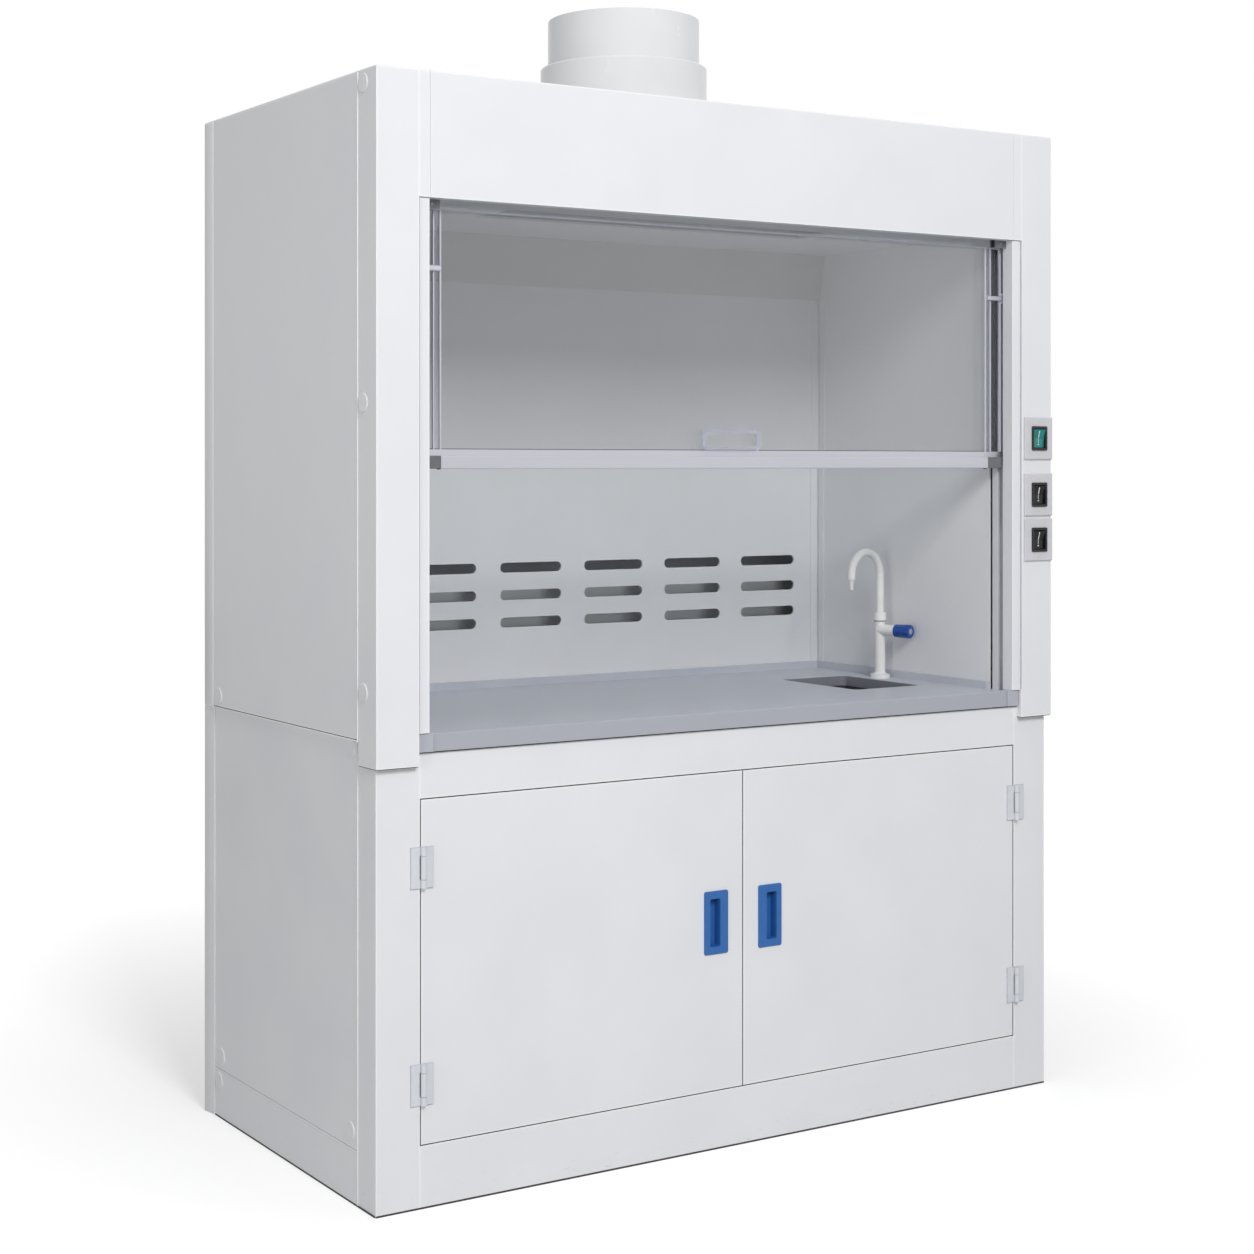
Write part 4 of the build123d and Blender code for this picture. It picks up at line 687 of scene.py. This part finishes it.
# %% Painted shade in the door gaps and at the jambs
door_low, door_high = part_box("door_left")
plinth_high, front_rail_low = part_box("plinth")[1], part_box("front_rail")[0]
opening_x, opening_z = plinth_high[0], (plinth_high[2], front_rail_low[2])
DOOR_GAP_SHADE = dict(width=0.0022, height=0.002, corner=0.0005)
STRIP = dict(width=0.0016, height=0.002, corner=0.0005)
SHADE_BACK, STRIP_SHORT = 0.0018, 0.001
shade_y = door_low[1] + SHADE_BACK
gap_x = (opening_x - door_low[0]) / 2
gap_z = [(opening_z[0] + door_low[2]) / 2, (opening_z[1] + door_high[2]) / 2]
put("door_gap_shade", [
    *(bar((side * gap_x, shade_y, gap_z[0]), (side * gap_x, shade_y, gap_z[1]), FRONTWARD,
          **DOOR_GAP_SHADE) for side in SIDES),
    *(bar((-gap_x, shade_y, z), (gap_x, shade_y, z), FRONTWARD, **DOOR_GAP_SHADE) for z in gap_z)],
    "cabinet", painted_shade_strip)
put("door_middle_gap_shade", [
    bar((0, shade_y, door_low[2] + STRIP_SHORT), (0, shade_y, door_high[2] - STRIP_SHORT),
        FRONTWARD, **STRIP)], "door_right", painted_shade_strip)

jamb_low, jamb_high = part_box("jambs")
JAMB_LINE = dict(width=0.0012, height=0.0012, corner=0.0004)
JAMB_X, JAMB_FOOT = 0.8046, 0.002
jamb_y = upper_low[1] + 0.0003
put("jamb_shade_lines", [
    bar((side * JAMB_X, jamb_y, jamb_low[2] + JAMB_FOOT),
        (side * JAMB_X, jamb_y, jamb_high[2]), FRONTWARD, **JAMB_LINE)
    for side in SIDES], "cabinet", index_and_shade_abs)

# %% [markdown]
# The moving sash is glazed with a dark gasket on top of its channel, and two rubber bumpers
# under its rail meet the worktop. All of them ride on the sash.

# %% Gasket and bumpers of the sash
glass_low, glass_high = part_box("sash_glass")
rail_low, rail_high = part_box("sash_rail")
GASKET = dict(width=0.0015, height=0.0015, corner=0.0004)
GASKET_SHORT = 0.006
gasket_y = glass_low[1] - GASKET["width"] / 2
gasket_z = rail_high[2] + GASKET["height"] / 2
put("glass_gasket", [bar((glass_low[0] + GASKET_SHORT, gasket_y, gasket_z),
                         (glass_high[0] - GASKET_SHORT, gasket_y, gasket_z), UP, **GASKET)],
    "sash", holder_rubber)

BUMPER_X, BUMPER_R, BUMPER_HIGH = 0.735, 0.004, 0.0016
BUMPER_WAYS, BUMPER_RISES = (0, 1, 1, 0.92, 0.75, 0), (0, 0, 0.6, 0.85, 1, 1)
bumper_y = (rail_low[1] + rail_high[1]) / 2
put("rail_bumpers", [
    turned((side * BUMPER_X, bumper_y, rail_low[2]), (0, 0, -1),
           BUMPER_R * np.array(BUMPER_WAYS), BUMPER_HIGH * np.array(BUMPER_RISES))
    for side in SIDES], "sash", holder_rubber)

# %% [markdown]
# Behind the header's lower edge hangs a small grey guide plate at each side, held by one
# screw. The slotted screw head is a dome whose points sink where they are close to the slot's
# line.

# %% Guide plates and the screw
RIM, SLOT_DEEP, SLOT_HALF = 0.45, 0.6, 0.22


def screw_head(centre, axis, radius, high):
    """A slotted head: the profile rises straight to the share RIM of its height, then follows
    a flat dome, a cosine of the way out. The slot takes the share SLOT_DEEP of the height
    away within SLOT_HALF of the radius from one line."""
    way = np.linspace(1, 0, 8)
    profile_r = radius * np.concatenate([[0, 1], way])
    profile_h = high * np.concatenate([[0, 0], RIM + (1 - RIM) * np.cos(way * np.pi / 2)])
    return turned(centre, axis, profile_r, profile_h, SLOT_DEEP * high, radius * SLOT_HALF)


header_low, header_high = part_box("header")
GUIDE_X, GUIDE_DROP, GUIDE_LAP, GUIDE_THICK = (0.745, 0.780), 0.018, 0.012, 0.002
guide_y = header_high[1] + GUIDE_THICK / 2
guide_z = (header_low[2] - GUIDE_DROP, header_low[2] + GUIDE_LAP)
guide_middle = sum(GUIDE_X) / 2
GUIDE_SCREW, SCREW_DROP = (0.0026, 0.0009), 0.009
put("guide_plates", [
    bar((side * guide_middle, guide_y, guide_z[0]), (side * guide_middle, guide_y, guide_z[1]),
        FRONTWARD, width=GUIDE_X[1] - GUIDE_X[0], height=GUIDE_THICK, corner=0.0008)
    for side in SIDES], "cabinet", guide_nylon)
put("guide_screws", [
    screw_head((side * guide_middle, guide_y - GUIDE_THICK / 2, header_low[2] - SCREW_DROP),
               FRONTWARD, *GUIDE_SCREW) for side in SIDES], "cabinet", plated_steel)

# %% [markdown]
# Each switch plate is held by two small screws in line with its rocker.

# %% Screws of the switch plates
ROCKERS = {"rocker_upper": 1.5345, "rocker_middle": 1.4015, "rocker_lower": 1.295}
ROCKER_X, PLATE_HALF, BEZEL_HALF = 0.856, 0.0497, 0.0285
PLATE_SCREW = (0.0021, 0.0007)
plate_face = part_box("switch_plates")[0][1]
screw_reach = (PLATE_HALF + BEZEL_HALF) / 2
put("plate_screws", [
    screw_head((ROCKER_X, plate_face, middle + side * screw_reach), FRONTWARD, *PLATE_SCREW)
    for middle in ROCKERS.values() for side in SIDES], "cabinet", plate_abs)

# %% [markdown]
# The rockers carry a printed stroke that thins out below their middle, and a dot under it.
# Prints are thin: 0.12 mm of ink that lies on the tilted, slightly hollow face and moves with
# it.

# %% Printed marks of the rockers
PIVOT_Y, TILT = -0.4235, radians(8)
lean = np.array((0, -np.sin(TILT), np.cos(TILT)))
face_out = np.array((0, -np.cos(TILT), -np.sin(TILT)))
HOLLOW_RISE, FACE_LIFT = 2.5 / 21.5, 0.0005
INK, DOT_AT, DOT_R = 0.00012, -0.0148, 0.0021
DOT_WAYS, DOT_RISES = (0, 1, 1, 0.8, 0), (-1, -1, 0.6, 1, 1)
STROKES = ((0.0006, 0.0182, 0.0022), (-0.0108, -0.0006, 0.0013))


def on_rocker(middle, along):
    """A point on a rocker's face: along the lean from the pivot, and out by a lift that grows
    evenly with the way from the middle."""
    out = FACE_LIFT + HOLLOW_RISE * abs(along)
    return np.array((ROCKER_X, PIVOT_Y, middle)) + lean * along + face_out * out


def stroke(middle, low, high, wide):
    """A thin bar on the face between two places along it, turned to lie flat there. It
    stands out of the face by the thickness of the ink and is rounded over most of it."""
    low, high = on_rocker(middle, low), on_rocker(middle, high)
    out = np.cross((high - low) / np.linalg.norm(high - low), (-1, 0, 0))
    return bar(low, high, out * np.sign(out @ face_out), wide, 2 * INK, INK * 0.8)


for body, middle in ROCKERS.items():
    spot = on_rocker(middle, DOT_AT)
    put(body + "_marks", [
        *(stroke(middle, *values) for values in STROKES),
        turned(spot, face_out - lean * HOLLOW_RISE, DOT_R * np.array(DOT_WAYS),
               INK * np.array(DOT_RISES))], body, print_and_highlight_ink)

# %% [markdown]
# The tap: a dark O-ring shows where the swan neck turns in its collar, and the knob has a
# grey index disc on its face, which turns with it. The ring's profile is an ellipse: the
# cosine of an angle on the way out and its sine along the axis.

# %% O-ring and index disc of the tap
COLUMN, RING_Z = (0.740, 0.0095), 1.081
RING_R, RING_THICK, RING_HALF = 0.0152, 0.0006, 0.0014
wave = np.linspace(0, 2 * np.pi, 13)
put("tap_o_ring", [turned((*COLUMN, RING_Z), UP, RING_R + RING_THICK * np.cos(wave),
                          RING_HALF * np.sin(wave))], "cabinet", holder_rubber)

ARM = np.array((0.2588, -0.9659, 0.0))
DISC_PLACE, DISC_SUNK, DISC_R = (0.7636, -0.0787, 1.058), 0.001, 0.0075
DISC_WAYS, DISC_RISES = (0, 1, 1, 0.9, 0), (0, 0, 0.0012, 0.0018, 0.0018)
put("knob_index", [turned(np.array(DISC_PLACE) - ARM * DISC_SUNK, ARM,
                          DISC_R * np.array(DISC_WAYS), DISC_RISES)], "tap_knob", index_and_shade_abs)

# %% [markdown]
# The floor is a plain sheet of matt paper. In a catalogue picture it fades to pure white, so
# to the camera alone it also glows a little, more with the distance from the cabinet. The
# soft shadow beside the cabinet stays, and the glow lights nothing.

# %% Floor
FLOOR_HALF = 14.0
FLOOR_LIFT = (0.42, 0.8)
LIFT_REACH = (1.0, 3.2)
corners = np.array([(-1, -1), (1, -1), (1, 1), (-1, 1)]) * FLOOR_HALF
floor_mesh = bpy.data.meshes.new("floor")
floor_mesh.from_pydata([(x, y, 0.0) for x, y in corners.tolist()], [], [(0, 1, 2, 3)])
floor = bpy.data.objects.new("floor", floor_mesh)
bpy.context.scene.collection.objects.link(floor)

floor_paper, floor_tree, floor_output, on_floor = start_material("white_studio_floor")
paper = add(floor_tree, "BsdfDiffuse", {"Color": linear("#DADADA")})
glow = add(floor_tree, "Emission", {"Color": (1, 1, 1, 1)})
seen = add(floor_tree, "LightPath").outputs["Is Camera Ray"]
reach = add(floor_tree, "VectorMath", {"operation": "LENGTH"}, {0: on_floor}).outputs["Value"]
far = add(floor_tree, "MapRange", {"From Min": LIFT_REACH[0], "From Max": LIFT_REACH[1],
                                   "To Min": FLOOR_LIFT[0], "To Max": FLOOR_LIFT[1]},
          {"Value": reach}).outputs[0]
lift = add(floor_tree, "Math", {"operation": "MULTIPLY"}, {0: seen, 1: far})
floor_tree.links.new(lift.outputs[0], glow.inputs["Strength"])
floor_sum = add(floor_tree, "AddShader", links={0: paper.outputs[0], 1: glow.outputs[0]})
floor_tree.links.new(floor_sum.outputs[0], floor_output.inputs["Surface"])
floor_mesh.materials.append(floor_paper)
print("floor", 2 * FLOOR_HALF, "m wide")

# %% [markdown]
# The studio is bright and nearly shadowless. To the camera, to reflections and through the
# glass the world is pure white, while the light it sheds stays at a level that keeps the
# paint from clipping. A strong lamp stands high in front and to the left, a weak one low at
# the left side and a weak one overhead. Their powers were fitted so that each face is as
# light as in the photograph.

# %% World and lamps
WORLD_LIGHT = 0.33

world = bpy.data.worlds.new("studio")
bpy.context.scene.world = world
world.use_nodes = True
sky = world.node_tree
sky.nodes.clear()
path = add(sky, "LightPath").outputs
eye = add(sky, "Math", {"operation": "MAXIMUM"},
          {0: path["Is Camera Ray"], 1: path["Is Transmission Ray"]}).outputs[0]
white = add(sky, "Math", {"operation": "MAXIMUM"},
            {0: eye, 1: path["Is Glossy Ray"]}).outputs[0]
strength = add(sky, "MapRange", {"To Min": WORLD_LIGHT, "To Max": 1.0}, {"Value": white})
dome = add(sky, "Background", {"Color": (1, 1, 1, 1)}, {"Strength": strength.outputs[0]})
add(sky, "OutputWorld", links={"Surface": dome.outputs[0]})


def softbox(name, place, aim, size, power):
    """A square area lamp at a place, turned so that it looks at the aim. It isn't seen in
    reflections, where a white world stands for it."""
    lamp = bpy.data.lights.new(name, "AREA")
    lamp.size = size
    lamp.energy = power
    lamp_object = bpy.data.objects.new(name, lamp)
    lamp_object.location = place
    sight = Vector(aim) - Vector(place)
    lamp_object.rotation_euler = sight.to_track_quat("-Z", "Y").to_euler()
    lamp_object.visible_glossy = False
    bpy.context.scene.collection.objects.link(lamp_object)


softbox("key_softbox", (-1.6, -6.5, 5.2), (0, 0, 1.2), 2.2, 326)
softbox("side_softbox", (-6.0, -2.6, 1.6), (0, 0, 1.1), 2.0, 54)
softbox("top_softbox", (0.0, -0.8, 6.0), (0, 0, 1.0), 3.0, 48)
bpy.context.scene.view_settings.view_transform = "Standard"
print("world light", WORLD_LIGHT)
